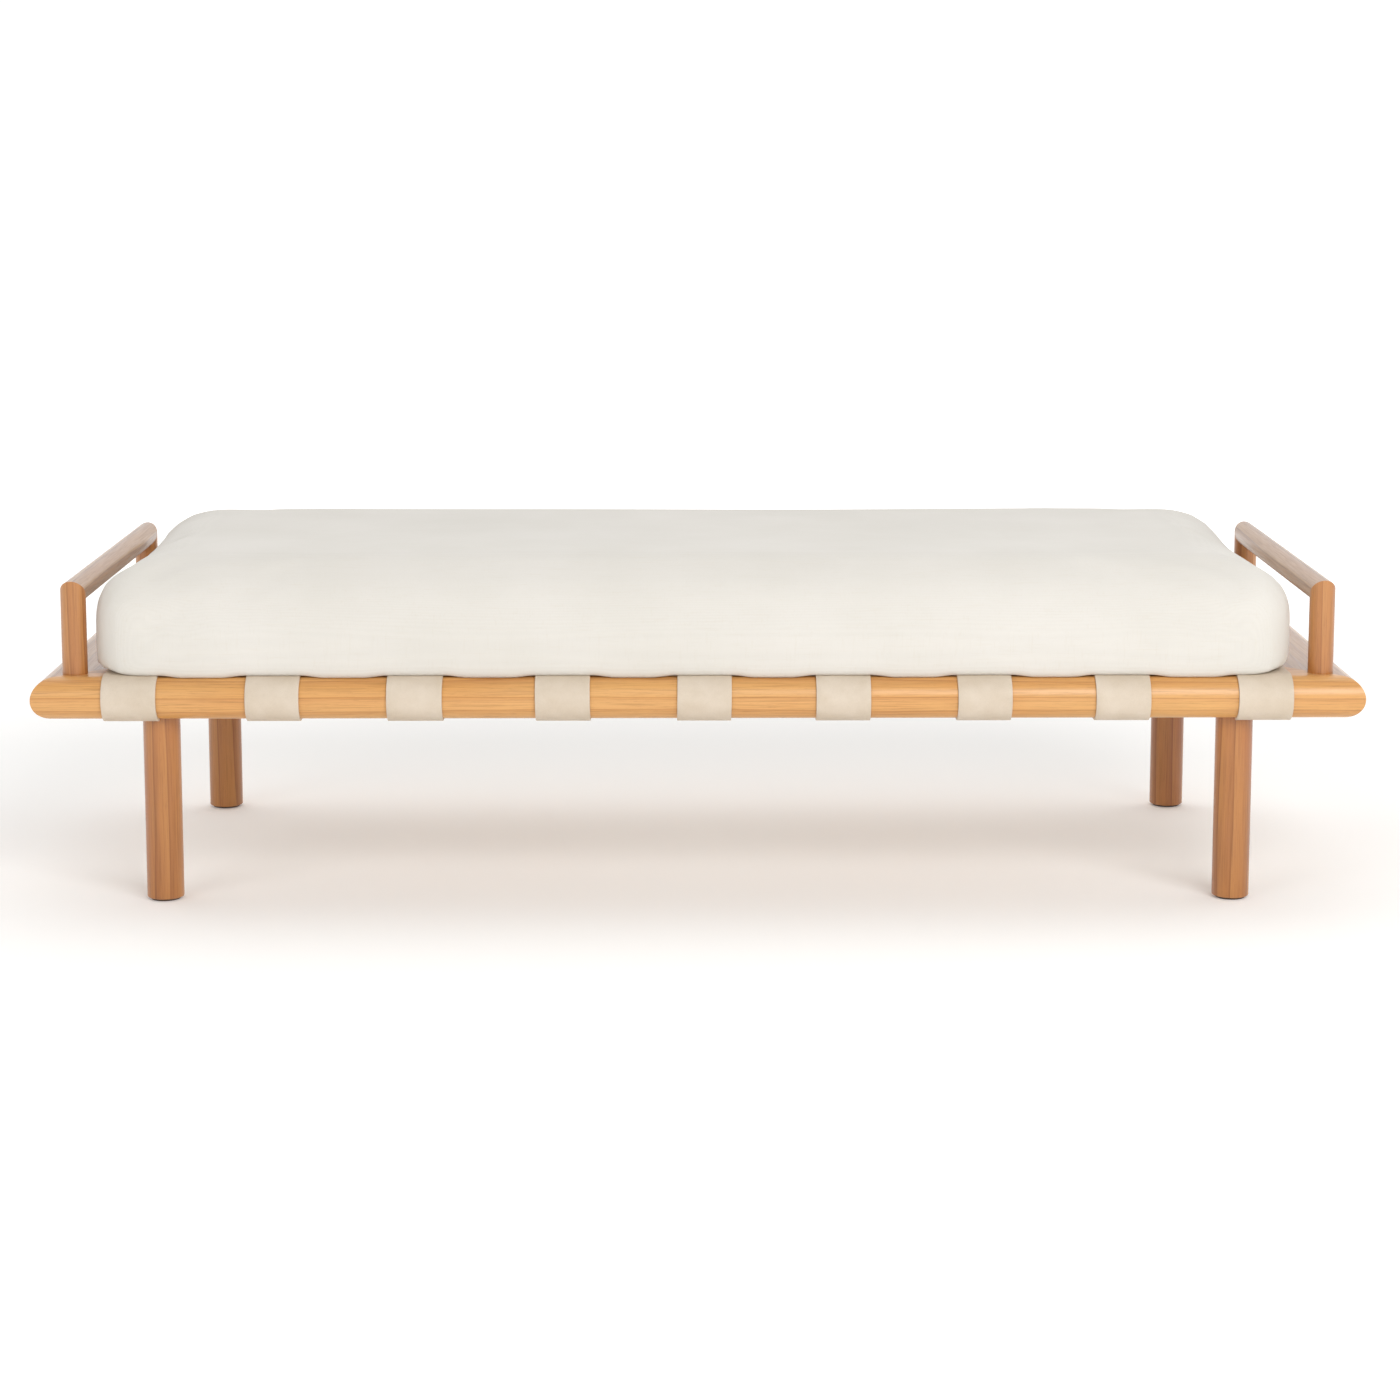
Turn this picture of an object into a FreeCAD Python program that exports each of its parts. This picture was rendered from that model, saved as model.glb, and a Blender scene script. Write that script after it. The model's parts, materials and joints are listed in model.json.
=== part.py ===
import FreeCAD, Part
import os
import Sketcher

# A daybed: a bullnosed hardwood frame on four round legs, a low round handle at each end,
# nine leather straps over the long rails and one loose mattress in a zipped canvas cover.
#
# The frame of the model: the origin is on the floor under the middle of the bed, +X runs
# along its length, the front faces -Y and +Z is up. All sizes are in millimetres.

# ---------------------------------------------------------------- sizes
# Each row is an alias, its value and what it measures. These are the sizes to change.

DRIVING = [
    ("frame_length", 2000, "overall length of the frame"),
    ("frame_width", 760, "overall width of the frame"),
    ("rail_thickness", 64, "thickness of the rails, all of it taken up by the bullnose"),
    ("rail_board", 110, "rail width, from the outer face to the inner edge"),
    ("inner_edge_radius", 3, "easing of the rails' inner edges"),
    ("leg_drop", 285, "height of the rails' underside above the floor"),
    ("leg_diameter", 56, "diameter of the legs"),
    ("leg_end_inset", 186, "leg axis from the end of the frame"),
    ("leg_setback", 2, "leg's side from where the bullnose begins"),
    ("leg_edge_radius", 2.5, "easing of the leg's bottom edge"),
    ("felt_thickness", 3, "thickness of the felt pads"),
    ("felt_diameter", 46, "diameter of the felt pads"),
    ("hanger_diameter", 10, "diameter of the hanger bolts"),
    ("hanger_in_leg", 40, "depth of the hanger bolt in the leg"),
    ("leg_insert_diameter", 16, "outer diameter of the legs' threaded inserts"),
    ("leg_insert_length", 25, "length of the legs' threaded inserts"),
    ("post_diameter", 38, "diameter of the handle posts and the handle rails"),
    ("post_setback", 7, "post's side from where the bullnose begins"),
    ("handle_rise", 143, "top of the handle above the rails"),
    ("spigot_diameter", 24, "diameter of the spigot under each post"),
    ("spigot_length", 30, "length of the spigot"),
    ("handle_dowel_diameter", 8, "diameter of the dowels in the handle mitres"),
    ("handle_dowel_length", 30, "length of the dowels in the handle mitres"),
    ("handle_bolt_diameter", 8, "diameter of the handle bolts"),
    ("handle_bolt_clearance", 1, "play of the handle bolts in the rails"),
    ("handle_insert_diameter", 12, "outer diameter of the posts' threaded inserts"),
    ("handle_insert_length", 18, "length of the posts' threaded inserts"),
    ("bolt_head_diameter", 13, "diameter of the handle bolts' heads"),
    ("bolt_head_height", 7, "height of the handle bolts' heads"),
    ("washer_diameter", 18, "diameter of the washers under those heads"),
    ("washer_thickness", 1.6, "thickness of those washers"),
    ("counterbore_diameter", 20, "counterbore for the bolt heads"),
    ("counterbore_depth", 14, "depth of that counterbore"),
    ("tenon_thickness", 12, "thickness of the loose tenons in the frame's mitres"),
    ("tenon_wall", 9, "wood between the tenon and the post's spigot"),
    ("tenon_cover", 21, "wood between the tenon and the frame's inner corner"),
    ("tenon_length", 50, "tenon length, across the mitre"),
    ("stretcher_width", 70, "width of the cross stretchers"),
    ("stretcher_thickness", 30, "thickness of the cross stretchers"),
    ("stretcher_edge_radius", 3, "easing of the stretchers' long edges"),
    ("stretcher_dowel_diameter", 10, "diameter of the stretcher dowels"),
    ("stretcher_dowel_length", 50, "length of the stretcher dowels"),
    ("stretcher_dowel_spacing", 36, "distance between a pair of stretcher dowels"),
    ("strap_width", 82, "width of the leather straps"),
    ("strap_thickness", 4, "thickness of the leather"),
    ("strap_end_inset", 150, "middle of the end straps from the end of the frame"),
    ("strap_reach", 80, "how far a strap comes back under a rail from its outer face"),
    ("strap_leg_gap", 1.5, "gap between an end strap's notch and the leg"),
    ("strap_hole_diameter", 4, "diameter of the strap screws' shanks"),
    ("screw_inset", 62, "strap screws from the long outer face"),
    ("screw_spread", 24, "strap screws from the strap's middle"),
    ("end_screw_spread", 11, "the same on the two end straps"),
    ("end_screw_shift", 17, "shift of the end straps' screws away from the legs"),
    ("screw_head_diameter", 9, "diameter of the strap screws' heads"),
    ("screw_head_height", 2.4, "height of the strap screws' heads"),
    ("screw_length", 25, "length of the strap screws under the head"),
    ("screw_washer_diameter", 14, "diameter of the strap screws' washers"),
    ("screw_washer_thickness", 1.2, "thickness of those washers"),
    ("mattress_gap_left", 2, "gap between the mattress and the left handle"),
    ("mattress_gap_right", 17, "gap between the mattress and the right handle"),
    ("mattress_setback", 12, "mattress's long faces from the frame's"),
    ("mattress_thickness", 167, "thickness of the mattress"),
    ("mattress_corner", 105, "rounding of the mattress's corners, seen from above"),
    ("mattress_top_radius", 95, "rounding of the mattress's top edge"),
    ("mattress_base_radius", 28, "rounding of the mattress's bottom edge"),
    ("mattress_gap", 0.3, "gap between the mattress and the straps"),
    ("cover_wall", 3, "thickness of the quilted canvas cover"),
    ("zip_end_inset", 283.5, "end of the zip's chain from the end of the mattress"),
    ("zip_height", 52, "zip's middle above the mattress's underside"),
    ("zip_tape_height", 26, "height of the zip's tape"),
    ("zip_tape_thickness", 1.2, "thickness of the tape"),
    ("zip_tape_spare", 15, "tape past each end of the chain"),
    ("zip_chain_height", 6, "height of the row of teeth"),
    ("zip_chain_thickness", 2.2, "how far the teeth stand out from the tape"),
    ("zip_stop_width", 4, "width of the stops at the ends of the chain"),
    ("zip_stop_height", 9, "height of those stops"),
    ("slider_length", 13, "length of the zip's slider"),
    ("slider_height", 12, "height of the slider"),
    ("slider_depth", 5.2, "how far the slider's body stands out from the tape"),
    ("slider_clearance", 0.4, "play of the slider over the teeth and the tape"),
    ("slider_rest_gap", 8, "the slider's end from the stop, with the zip closed"),
    ("lug_thickness", 1.2, "thickness of the slider's two lugs"),
    ("lug_gap", 5.6, "distance between the lugs"),
    ("lug_rise", 4.4, "how far the lugs stand out from the slider's body"),
    ("pin_diameter", 1.6, "diameter of the pin between the lugs"),
    ("pin_clearance", 0.08, "play of the pull on that pin, on the radius"),
    ("pull_length", 27, "length of the pull from the pin to its tip"),
    ("pull_height", 5, "height of the pull"),
    ("pull_thickness", 1.4, "thickness of the pull"),
    ("pull_eye_diameter", 3.8, "diameter of the eye round the pin"),
    ("mitre_margin", 1, "how far the cutting outlines pass the wood"),
]

# The straps are pulled tight by hand, so a few lie some millimetres off the even spacing.
STRAP_DRIFT = (-2, -2, 0, 10, 8, 5, 3, 0, 0)
STRAP_WORDS = ("one", "two", "three", "four", "five", "six", "seven", "eight", "nine")

# What follows from the sizes above.

DERIVED = [
    ("half_length", "=frame_length / 2"),
    ("half_width", "=frame_width / 2"),
    ("rail_radius", "=rail_thickness / 2"),
    ("inner_edge_start", "=rail_board - inner_edge_radius"),
    ("inner_edge_drop", "=rail_radius - inner_edge_radius"),
    ("rail_middle", "=leg_drop + rail_radius"),
    ("deck_height", "=leg_drop + rail_thickness"),
    ("mitre_reach", "=rail_board + mitre_margin"),
    ("leg_radius", "=leg_diameter / 2"),
    ("leg_face_inset", "=rail_radius + leg_radius + leg_setback"),
    ("leg_length", "=leg_drop - felt_thickness"),
    ("leg_x", "=half_length - leg_end_inset"),
    ("leg_y", "=half_width - leg_face_inset"),
    ("felt_radius", "=felt_diameter / 2"),
    ("hanger_radius", "=hanger_diameter / 2"),
    ("hanger_length", "=hanger_in_leg + leg_insert_length"),
    ("hanger_foot", "=leg_drop - hanger_in_leg"),
    ("leg_insert_radius", "=leg_insert_diameter / 2"),
    ("post_radius", "=post_diameter / 2"),
    ("post_inset", "=rail_radius + post_radius + post_setback"),
    ("post_x", "=half_length - post_inset"),
    ("post_y", "=half_width - post_inset"),
    ("handle_axis", "=handle_rise - post_radius"),
    ("handle_middle", "=deck_height + handle_axis"),
    ("handle_length", "=2 * (post_y + post_radius)"),
    ("cut_out", "=post_radius + mitre_margin"),
    ("post_cut_low", "=handle_axis - cut_out"),
    ("post_cut_high", "=handle_axis + cut_out"),
    ("rail_cut_near", "=post_y - cut_out"),
    ("rail_cut_far", "=post_y + cut_out"),
    ("spigot_radius", "=spigot_diameter / 2"),
    ("handle_dowel_radius", "=handle_dowel_diameter / 2"),
    ("handle_bolt_radius", "=handle_bolt_diameter / 2"),
    ("handle_bolt_hole", "=handle_bolt_radius + handle_bolt_clearance / 2"),
    ("handle_insert_radius", "=handle_insert_diameter / 2"),
    ("spigot_foot", "=deck_height - spigot_length"),
    ("counterbore_radius", "=counterbore_diameter / 2"),
    ("counterbore_top", "=leg_drop + counterbore_depth"),
    ("handle_bolt_seat", "=counterbore_top - washer_thickness"),
    ("handle_bolt_length", "=spigot_foot + handle_insert_length - handle_bolt_seat"),
    ("bolt_head_radius", "=bolt_head_diameter / 2"),
    ("washer_radius", "=washer_diameter / 2"),
    ("tenon_near", "=post_inset + (spigot_radius + tenon_wall) / sqrt(2)"),
    ("tenon_far", "=rail_board - tenon_cover / sqrt(2)"),
    ("tenon_place", "=(tenon_near + tenon_far) / 2"),
    ("tenon_width", "=(tenon_far - tenon_near) * sqrt(2)"),
    ("tenon_long", "=tenon_place + (tenon_width + tenon_length) * sqrt(2) / 4"),
    ("tenon_short", "=tenon_place - (tenon_width + tenon_length) * sqrt(2) / 4"),
    ("tenon_more", "=tenon_place + (tenon_width - tenon_length) * sqrt(2) / 4"),
    ("tenon_less", "=tenon_place - (tenon_width - tenon_length) * sqrt(2) / 4"),
    ("tenon_half_width", "=tenon_width / 2"),
    ("tenon_half_length", "=tenon_length / 2"),
    ("tenon_x", "=half_length - tenon_place"),
    ("tenon_y", "=half_width - tenon_place"),
    ("strap_pitch", "=(frame_length - 2 * strap_end_inset) / 8"),
    ("stretcher_x", "=strap_pitch * 3 / 2"),
    ("stretcher_half_width", "=stretcher_width / 2"),
    ("stretcher_middle", "=leg_drop + stretcher_thickness / 2"),
    ("stretcher_half_thickness", "=stretcher_thickness / 2"),
    ("stretcher_length", "=frame_width - 2 * rail_board"),
    ("stretcher_end", "=stretcher_length / 2"),
    ("stretcher_dowel_radius", "=stretcher_dowel_diameter / 2"),
    ("stretcher_dowel_depth", "=stretcher_dowel_length / 2"),
    ("stretcher_dowel_half", "=stretcher_dowel_spacing / 2"),
    ("stretcher_dowel_drop", "=rail_middle - stretcher_middle"),
    ("stretcher_dowel_near", "=stretcher_x - stretcher_dowel_half"),
    ("stretcher_dowel_far", "=stretcher_x + stretcher_dowel_half"),
    ("bullnose_y", "=half_width - rail_radius"),
    ("strap_radius", "=rail_radius + strap_thickness"),
    ("strap_face_y", "=half_width + strap_thickness"),
    ("strap_end_y", "=half_width - strap_reach"),
    ("strap_screw_y", "=half_width - screw_inset"),
    ("strap_under", "=leg_drop - strap_thickness"),
    ("strap_hole_radius", "=strap_hole_diameter / 2"),
    ("notch_radius", "=leg_radius + strap_leg_gap"),
    ("screw_seat", "=strap_under - screw_washer_thickness"),
    ("pilot_depth", "=screw_seat + screw_length - leg_drop"),
    ("screw_head_radius", "=screw_head_diameter / 2"),
    ("screw_washer_radius", "=screw_washer_diameter / 2"),
    ("mattress_base", "=deck_height + strap_thickness + mattress_gap"),
    ("mattress_room", "=2 * (post_x - post_radius)"),
    ("mattress_length", "=mattress_room - mattress_gap_left - mattress_gap_right"),
    ("mattress_shift", "=(mattress_gap_left - mattress_gap_right) / 2"),
    ("mattress_depth", "=frame_width - 2 * mattress_setback"),
    ("mattress_half_length", "=mattress_length / 2"),
    ("mattress_half_depth", "=mattress_depth / 2"),
    ("core_half_length", "=mattress_half_length - cover_wall"),
    ("core_half_depth", "=mattress_half_depth - cover_wall"),
    ("core_thickness", "=mattress_thickness - 2 * cover_wall"),
    ("core_base", "=mattress_base + cover_wall"),
    ("core_corner", "=mattress_corner - cover_wall"),
    ("core_top_radius", "=mattress_top_radius - cover_wall"),
    ("core_base_radius", "=mattress_base_radius - cover_wall"),
    ("zip_middle", "=mattress_base + zip_height"),
    ("zip_half_length", "=mattress_half_length - zip_end_inset"),
    ("zip_chain_half", "=zip_half_length - zip_stop_width"),
    ("zip_tape_half", "=zip_half_length + zip_tape_spare"),
    ("zip_tape_half_height", "=zip_tape_height / 2"),
    ("zip_chain_half_height", "=zip_chain_height / 2"),
    ("zip_stop_half_height", "=zip_stop_height / 2"),
    ("zip_face_y", "=mattress_half_depth + zip_tape_thickness"),
    ("slider_half_length", "=slider_length / 2"),
    ("slider_half_height", "=slider_height / 2"),
    ("slider_rest", "=zip_chain_half - slider_rest_gap - slider_half_length"),
    ("slider_place", "=mattress_shift + slider_rest"),
    ("channel_half_height", "=zip_chain_half_height + slider_clearance"),
    ("channel_depth", "=zip_chain_thickness + slider_clearance"),
    ("lug_inner", "=lug_gap / 2"),
    ("lug_outer", "=lug_gap / 2 + lug_thickness"),
    ("lug_width", "=pin_diameter * 2"),
    ("lug_top", "=slider_depth + lug_rise"),
    ("pin_radius", "=pin_diameter / 2"),
    ("pin_length", "=lug_outer * 2"),
    ("pin_rise", "=lug_top - pin_diameter"),
    ("pin_y", "=zip_face_y + pin_rise"),
    ("pull_bore_radius", "=pin_radius + pin_clearance"),
    ("pull_eye_radius", "=pull_eye_diameter / 2"),
    ("pull_half_thickness", "=pull_thickness / 2"),
]

STRAPS = len(STRAP_DRIFT)
MIDDLE_STRAP = STRAPS // 2

for number, (word, drift) in enumerate(zip(STRAP_WORDS, STRAP_DRIFT)):
    place = "strap_%s" % word
    DERIVED.append((place, "=strap_pitch * %d + %g" % (number - MIDDLE_STRAP, drift)))
    at_end = number in (0, STRAPS - 1)
    away = -1 if number == 0 else 1
    shift = "end_screw_shift * %d" % away if at_end else "0"
    spread = "end_screw_spread" if at_end else "screw_spread"
    DERIVED.append(("hole_low_%s" % word, "=%s - %s" % (shift, spread)))
    DERIVED.append(("hole_high_%s" % word, "=%s + %s" % (shift, spread)))
    DERIVED.append(("screw_low_%s" % word, "=%s + hole_low_%s" % (place, word)))
    DERIVED.append(("screw_high_%s" % word, "=%s + hole_high_%s" % (place, word)))
DERIVED.append(("notch_left", "=-leg_x - strap_%s" % STRAP_WORDS[0]))
DERIVED.append(("notch_right", "=leg_x - strap_%s" % STRAP_WORDS[-1]))

doc = FreeCAD.newDocument("Daybed")
sheet = doc.addObject("Spreadsheet::Sheet", "Sizes")


def fill_sheet():
    """Write every size into the sheet, one row each, with its alias."""
    row = 0
    for alias, value, note in DRIVING:
        row += 1
        sheet.set("A%d" % row, note)
        sheet.set("B%d" % row, str(value))
        sheet.setAlias("B%d" % row, alias)
    for alias, rule in DERIVED:
        row += 1
        sheet.set("A%d" % row, "worked out")
        sheet.set("B%d" % row, rule)
        sheet.setAlias("B%d" % row, alias)
    doc.recompute()


fill_sheet()


# ---------------------------------------------------------------- helpers
# A size is named by its alias; a leading minus turns its sign, and "0" is nothing.

def size(name):
    if name == "0":
        return 0.0
    sign = -1.0 if name.startswith("-") else 1.0
    return sign * float(sheet.get(name.lstrip("-")))


def formula(name):
    sign = "-" if name.startswith("-") else ""
    return sign + "Sizes." + name.lstrip("-")


def bind(thing, prop, name):
    if name != "0":
        thing.setExpression(prop, formula(name))


def flip(name):
    """The same size with its sign turned."""
    if name == "0":
        return name
    return name[1:] if name.startswith("-") else "-" + name


def new_body(label, x="0", y="0", z="0", turn=0):
    body = doc.addObject("PartDesign::Body", label)
    body.Label = label
    upright = FreeCAD.Vector(0, 0, 1)
    body.Placement = FreeCAD.Placement(FreeCAD.Vector(size(x), size(y), size(z)),
                                       FreeCAD.Rotation(upright, turn))
    for axis, name in zip("xyz", (x, y, z)):
        bind(body, "Placement.Base." + axis, name)
    return body


def origin_plane(body, role):
    return [feature for feature in body.Origin.OriginFeatures if feature.Role == role][0]


def new_sketch(body, name, plane, offset=("0", "0", "0"), tilt=0):
    """A sketch on one of the body's own planes, moved in that plane's own directions."""
    sketch = body.newObject("Sketcher::SketchObject", name)
    sketch.AttachmentSupport = (origin_plane(body, plane), [""])
    sketch.MapMode = "FlatFace"
    across = FreeCAD.Vector(1, 0, 0)
    sketch.AttachmentOffset = FreeCAD.Placement(FreeCAD.Vector(), FreeCAD.Rotation(across, tilt))
    for axis, alias in zip("xyz", offset):
        bind(sketch, "AttachmentOffset.Base." + axis, alias)
    return sketch


ORIGIN, CROSS_AXIS, UP_AXIS = -1, -1, -2
START, END, CENTRE = 1, 2, 3


def fix_point(sketch, edge, point, x, y):
    """Hold one point of the sketch at two named sizes from its origin."""
    for kind, name, axis in (("DistanceX", x, UP_AXIS), ("DistanceY", y, CROSS_AXIS)):
        if name == "0":
            sketch.addConstraint(Sketcher.Constraint("PointOnObject", edge, point, axis))
            continue
        rule = Sketcher.Constraint(kind, ORIGIN, START, edge, point, size(name))
        index = sketch.addConstraint(rule)
        sketch.setExpression("Constraints[%d]" % index, formula(name))


def draw_circle(sketch, x, y, radius):
    centre = FreeCAD.Vector(size(x), size(y), 0)
    circle = Part.Circle(centre, FreeCAD.Vector(0, 0, 1), size(radius))
    edge = sketch.addGeometry(circle, False)
    fix_point(sketch, edge, CENTRE, x, y)
    index = sketch.addConstraint(Sketcher.Constraint("Radius", edge, size(radius)))
    sketch.setExpression("Constraints[%d]" % index, formula(radius))


def draw_outline(sketch, corners):
    """A closed outline. A corner is (x, y), and (x, y, centre x, centre y, radius, way)
    where an arc leads on from it, with way +1 to turn left and -1 to turn right."""
    count = len(corners)
    ends = []
    for index, corner in enumerate(corners):
        here = FreeCAD.Vector(size(corner[0]), size(corner[1]), 0)
        after = corners[(index + 1) % count]
        there = FreeCAD.Vector(size(after[0]), size(after[1]), 0)
        if len(corner) == 2:
            edge = sketch.addGeometry(Part.LineSegment(here, there), False)
            ends.append((edge, START, END))
            continue
        middle = FreeCAD.Vector(size(corner[2]), size(corner[3]), 0)
        way = corner[5]
        circle = Part.Circle(middle, FreeCAD.Vector(0, 0, 1), size(corner[4]))
        first, last = (here, there) if way > 0 else (there, here)
        arc = Part.ArcOfCircle(circle, circle.parameter(first), circle.parameter(last))
        edge = sketch.addGeometry(arc, False)
        index = sketch.addConstraint(Sketcher.Constraint("Radius", edge, size(corner[4])))
        sketch.setExpression("Constraints[%d]" % index, formula(corner[4]))
        ends.append((edge, START, END) if way > 0 else (edge, END, START))
    for index, (edge, start, end) in enumerate(ends):
        after = ends[(index + 1) % count]
        joint = Sketcher.Constraint("Coincident", edge, end, after[0], after[1])
        sketch.addConstraint(joint)
    for corner, (edge, start, end) in zip(corners, ends):
        fix_point(sketch, edge, start, corner[0], corner[1])


def draw_box(sketch, left, right, low, high):
    draw_outline(sketch, [(left, low), (right, low), (right, high), (left, high)])


def add_pad(body, sketch, name, length, symmetric=False, reverse=False):
    pad = body.newObject("PartDesign::Pad", name)
    pad.Profile = sketch
    pad.SideType = "Symmetric" if symmetric else "One side"
    pad.Reversed = reverse
    bind(pad, "Length", length)
    doc.recompute()
    return pad


def add_pocket(body, sketch, name, length=None, symmetric=False, reverse=False):
    """Cut with a sketch: through everything, or to a length. It has to take wood away."""
    before = body.Shape.Volume
    pocket = body.newObject("PartDesign::Pocket", name)
    pocket.Profile = sketch
    pocket.SideType = "Symmetric" if symmetric else "One side"
    pocket.Reversed = reverse
    if length is None:
        pocket.Type = "ThroughAll"
    else:
        bind(pocket, "Length", length)
    doc.recompute()
    if not body.Shape.Volume < before:
        raise ValueError("%s cuts nothing from %s" % (name, body.Label))
    return pocket


def add_mirror(body, name, plane, originals):
    mirror = body.newObject("PartDesign::Mirrored", name)
    mirror.Originals = originals
    mirror.MirrorPlane = (origin_plane(body, plane), [""])
    body.Tip = mirror
    doc.recompute()
    return mirror


def add_fillet(body, name, radius, wanted):
    """Round the edges of the body's last feature that wanted says yes to."""
    base = body.Tip
    names = ["Edge%d" % (index + 1) for index, edge in enumerate(base.Shape.Edges)
             if wanted(edge)]
    fillet = body.newObject("PartDesign::Fillet", name)
    fillet.Base = (base, names)
    bind(fillet, "Radius", radius)
    doc.recompute()
    return fillet


def lies_at(edge, height):
    """Whether an edge is level, at one height."""
    box = edge.BoundBox
    near = 1e-4
    return abs(box.ZMin - height) < near and abs(box.ZMax - height) < near


def stands_up(edge):
    """Whether an edge is a straight vertical one."""
    box = edge.BoundBox
    near = 1e-4
    return box.XLength < near and box.YLength < near


def new_group(label, pattern, places):
    """One node of identical solids: the pattern's shape, copied to each place."""
    copies = []
    for place in places:
        copy = pattern.Shape.copy()
        copy.Placement = place.multiply(copy.Placement)
        copies.append(copy)
    group = doc.addObject("Part::Feature", label)
    group.Label = label
    group.Shape = Part.makeCompound(copies)
    group.Placement = FreeCAD.Placement()
    return group


def at(x, y, z, axis=(0, 0, 1), turn=0):
    return FreeCAD.Placement(FreeCAD.Vector(x, y, z),
                             FreeCAD.Rotation(FreeCAD.Vector(*axis), turn))


def round_bar(label, radius, length):
    """A pattern for a plain pin that stands on the origin."""
    body = new_body(label)
    sketch = new_sketch(body, label + "_section", "XY_Plane")
    draw_circle(sketch, "0", "0", radius)
    add_pad(body, sketch, label + "_length", length)
    return body


def round_tube(label, radius, bore, length):
    """A pattern for a washer or a threaded insert that stands on the origin."""
    body = new_body(label)
    sketch = new_sketch(body, label + "_section", "XY_Plane")
    draw_circle(sketch, "0", "0", radius)
    draw_circle(sketch, "0", "0", bore)
    add_pad(body, sketch, label + "_length", length)
    return body


SIDES = (-1, 1)
CORNERS = [(x, y) for x in SIDES for y in SIDES]
X_WORD = {-1: "left", 1: "right"}
Y_WORD = {-1: "front", 1: "back"}
X_SIGN = {-1: "-", 1: ""}
Y_TURN = {-1: 0, 1: 180}

nodes = []


# ---------------------------------------------------------------- frame rails
# A rail's own frame: its outer face touches y = 0, the board goes to +y, and z = 0 is the
# middle of its thickness. The left end is finished first and then mirrored.

def cut_corner_joint(body, half):
    """The mitre, the post's spigot hole, its bolt's holes and the loose tenon's slot."""
    start = (flip(half), "0", "0")
    mitre = new_sketch(body, "MitreOutline", "XY_Plane", start)
    draw_outline(mitre, [("-mitre_margin", "-mitre_margin"), ("mitre_reach", "mitre_reach"),
                         ("-mitre_margin", "mitre_reach")])
    cuts = [add_pocket(body, mitre, "Mitre", symmetric=True)]

    above = (flip(half), "0", "rail_radius")
    spigot = new_sketch(body, "SpigotCircle", "XY_Plane", above)
    draw_circle(spigot, "post_inset", "post_inset", "spigot_radius")
    cuts.append(add_pocket(body, spigot, "SpigotHole", "spigot_length"))

    bolt = new_sketch(body, "BoltCircle", "XY_Plane", start)
    draw_circle(bolt, "post_inset", "post_inset", "handle_bolt_hole")
    cuts.append(add_pocket(body, bolt, "BoltHole", symmetric=True))

    below = (flip(half), "0", "-rail_radius")
    counterbore = new_sketch(body, "CounterboreCircle", "XY_Plane", below)
    draw_circle(counterbore, "post_inset", "post_inset", "counterbore_radius")
    cuts.append(add_pocket(body, counterbore, "Counterbore", "counterbore_depth", reverse=True))

    tenon = new_sketch(body, "TenonOutline", "XY_Plane", start)
    draw_outline(tenon, [("tenon_long", "tenon_more"), ("tenon_more", "tenon_long"),
                         ("tenon_short", "tenon_less"), ("tenon_less", "tenon_short")])
    cuts.append(add_pocket(body, tenon, "TenonSlot", "tenon_thickness", symmetric=True))
    add_mirror(body, "OtherEnd", "YZ_Plane", cuts)


def bullnosed_rail(label, length, half, x, y, turn):
    body = new_body(label, x, y, "rail_middle", turn)
    profile = new_sketch(body, "Profile", "YZ_Plane")
    centre = ("rail_radius", "0", "rail_radius", 1)
    draw_outline(profile, [
        ("rail_radius", "rail_radius") + centre,
        ("0", "0") + centre,
        ("rail_radius", "-rail_radius"),
        ("inner_edge_start", "-rail_radius",
         "inner_edge_start", "-inner_edge_drop", "inner_edge_radius", 1),
        ("rail_board", "-inner_edge_drop"),
        ("rail_board", "inner_edge_drop",
         "inner_edge_start", "inner_edge_drop", "inner_edge_radius", 1),
        ("inner_edge_start", "rail_radius"),
    ])
    add_pad(body, profile, "Board", length, symmetric=True)
    cut_corner_joint(body, half)
    return body


def drill_long_rail(body, facing):
    """The holes that only the long rails have. facing is 1 where the rail's own +x is the
    bed's +x and -1 where the rail is turned round."""
    below = ("0", "0", "-rail_radius")
    inserts = new_sketch(body, "LegInsertCircles", "XY_Plane", below)
    for side in SIDES:
        draw_circle(inserts, X_SIGN[side] + "leg_x", "leg_face_inset", "leg_insert_radius")
    add_pocket(body, inserts, "LegInsertHoles", "leg_insert_length", reverse=True)

    pilots = new_sketch(body, "PilotCircles", "XY_Plane", below)
    for word in STRAP_WORDS:
        for name in ("screw_low_" + word, "screw_high_" + word):
            place = name if facing > 0 else flip(name)
            draw_circle(pilots, place, "screw_inset", "strap_hole_radius")
    add_pocket(body, pilots, "PilotHoles", "pilot_depth", reverse=True)

    inside = ("0", "0", "-rail_board")
    dowels = new_sketch(body, "DowelCircles", "XZ_Plane", inside)
    for side in SIDES:
        for name in ("stretcher_dowel_near", "stretcher_dowel_far"):
            draw_circle(dowels, X_SIGN[side] + name, "-stretcher_dowel_drop",
                        "stretcher_dowel_radius")
    add_pocket(body, dowels, "DowelHoles", "stretcher_dowel_depth", reverse=True)


front_rail = bullnosed_rail("front_rail", "frame_length", "half_length", "0", "-half_width", 0)
back_rail = bullnosed_rail("back_rail", "frame_length", "half_length", "0", "half_width", 180)
drill_long_rail(front_rail, 1)
drill_long_rail(back_rail, -1)
nodes += [front_rail, back_rail]
for side in SIDES:
    nodes.append(bullnosed_rail("%s_end_rail" % X_WORD[side], "frame_width", "half_width",
                                X_SIGN[side] + "half_length", "0", 90 * side))


# ---------------------------------------------------------------- loose tenons
# One loose tenon crosses each frame mitre, at right angles to it.

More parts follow.
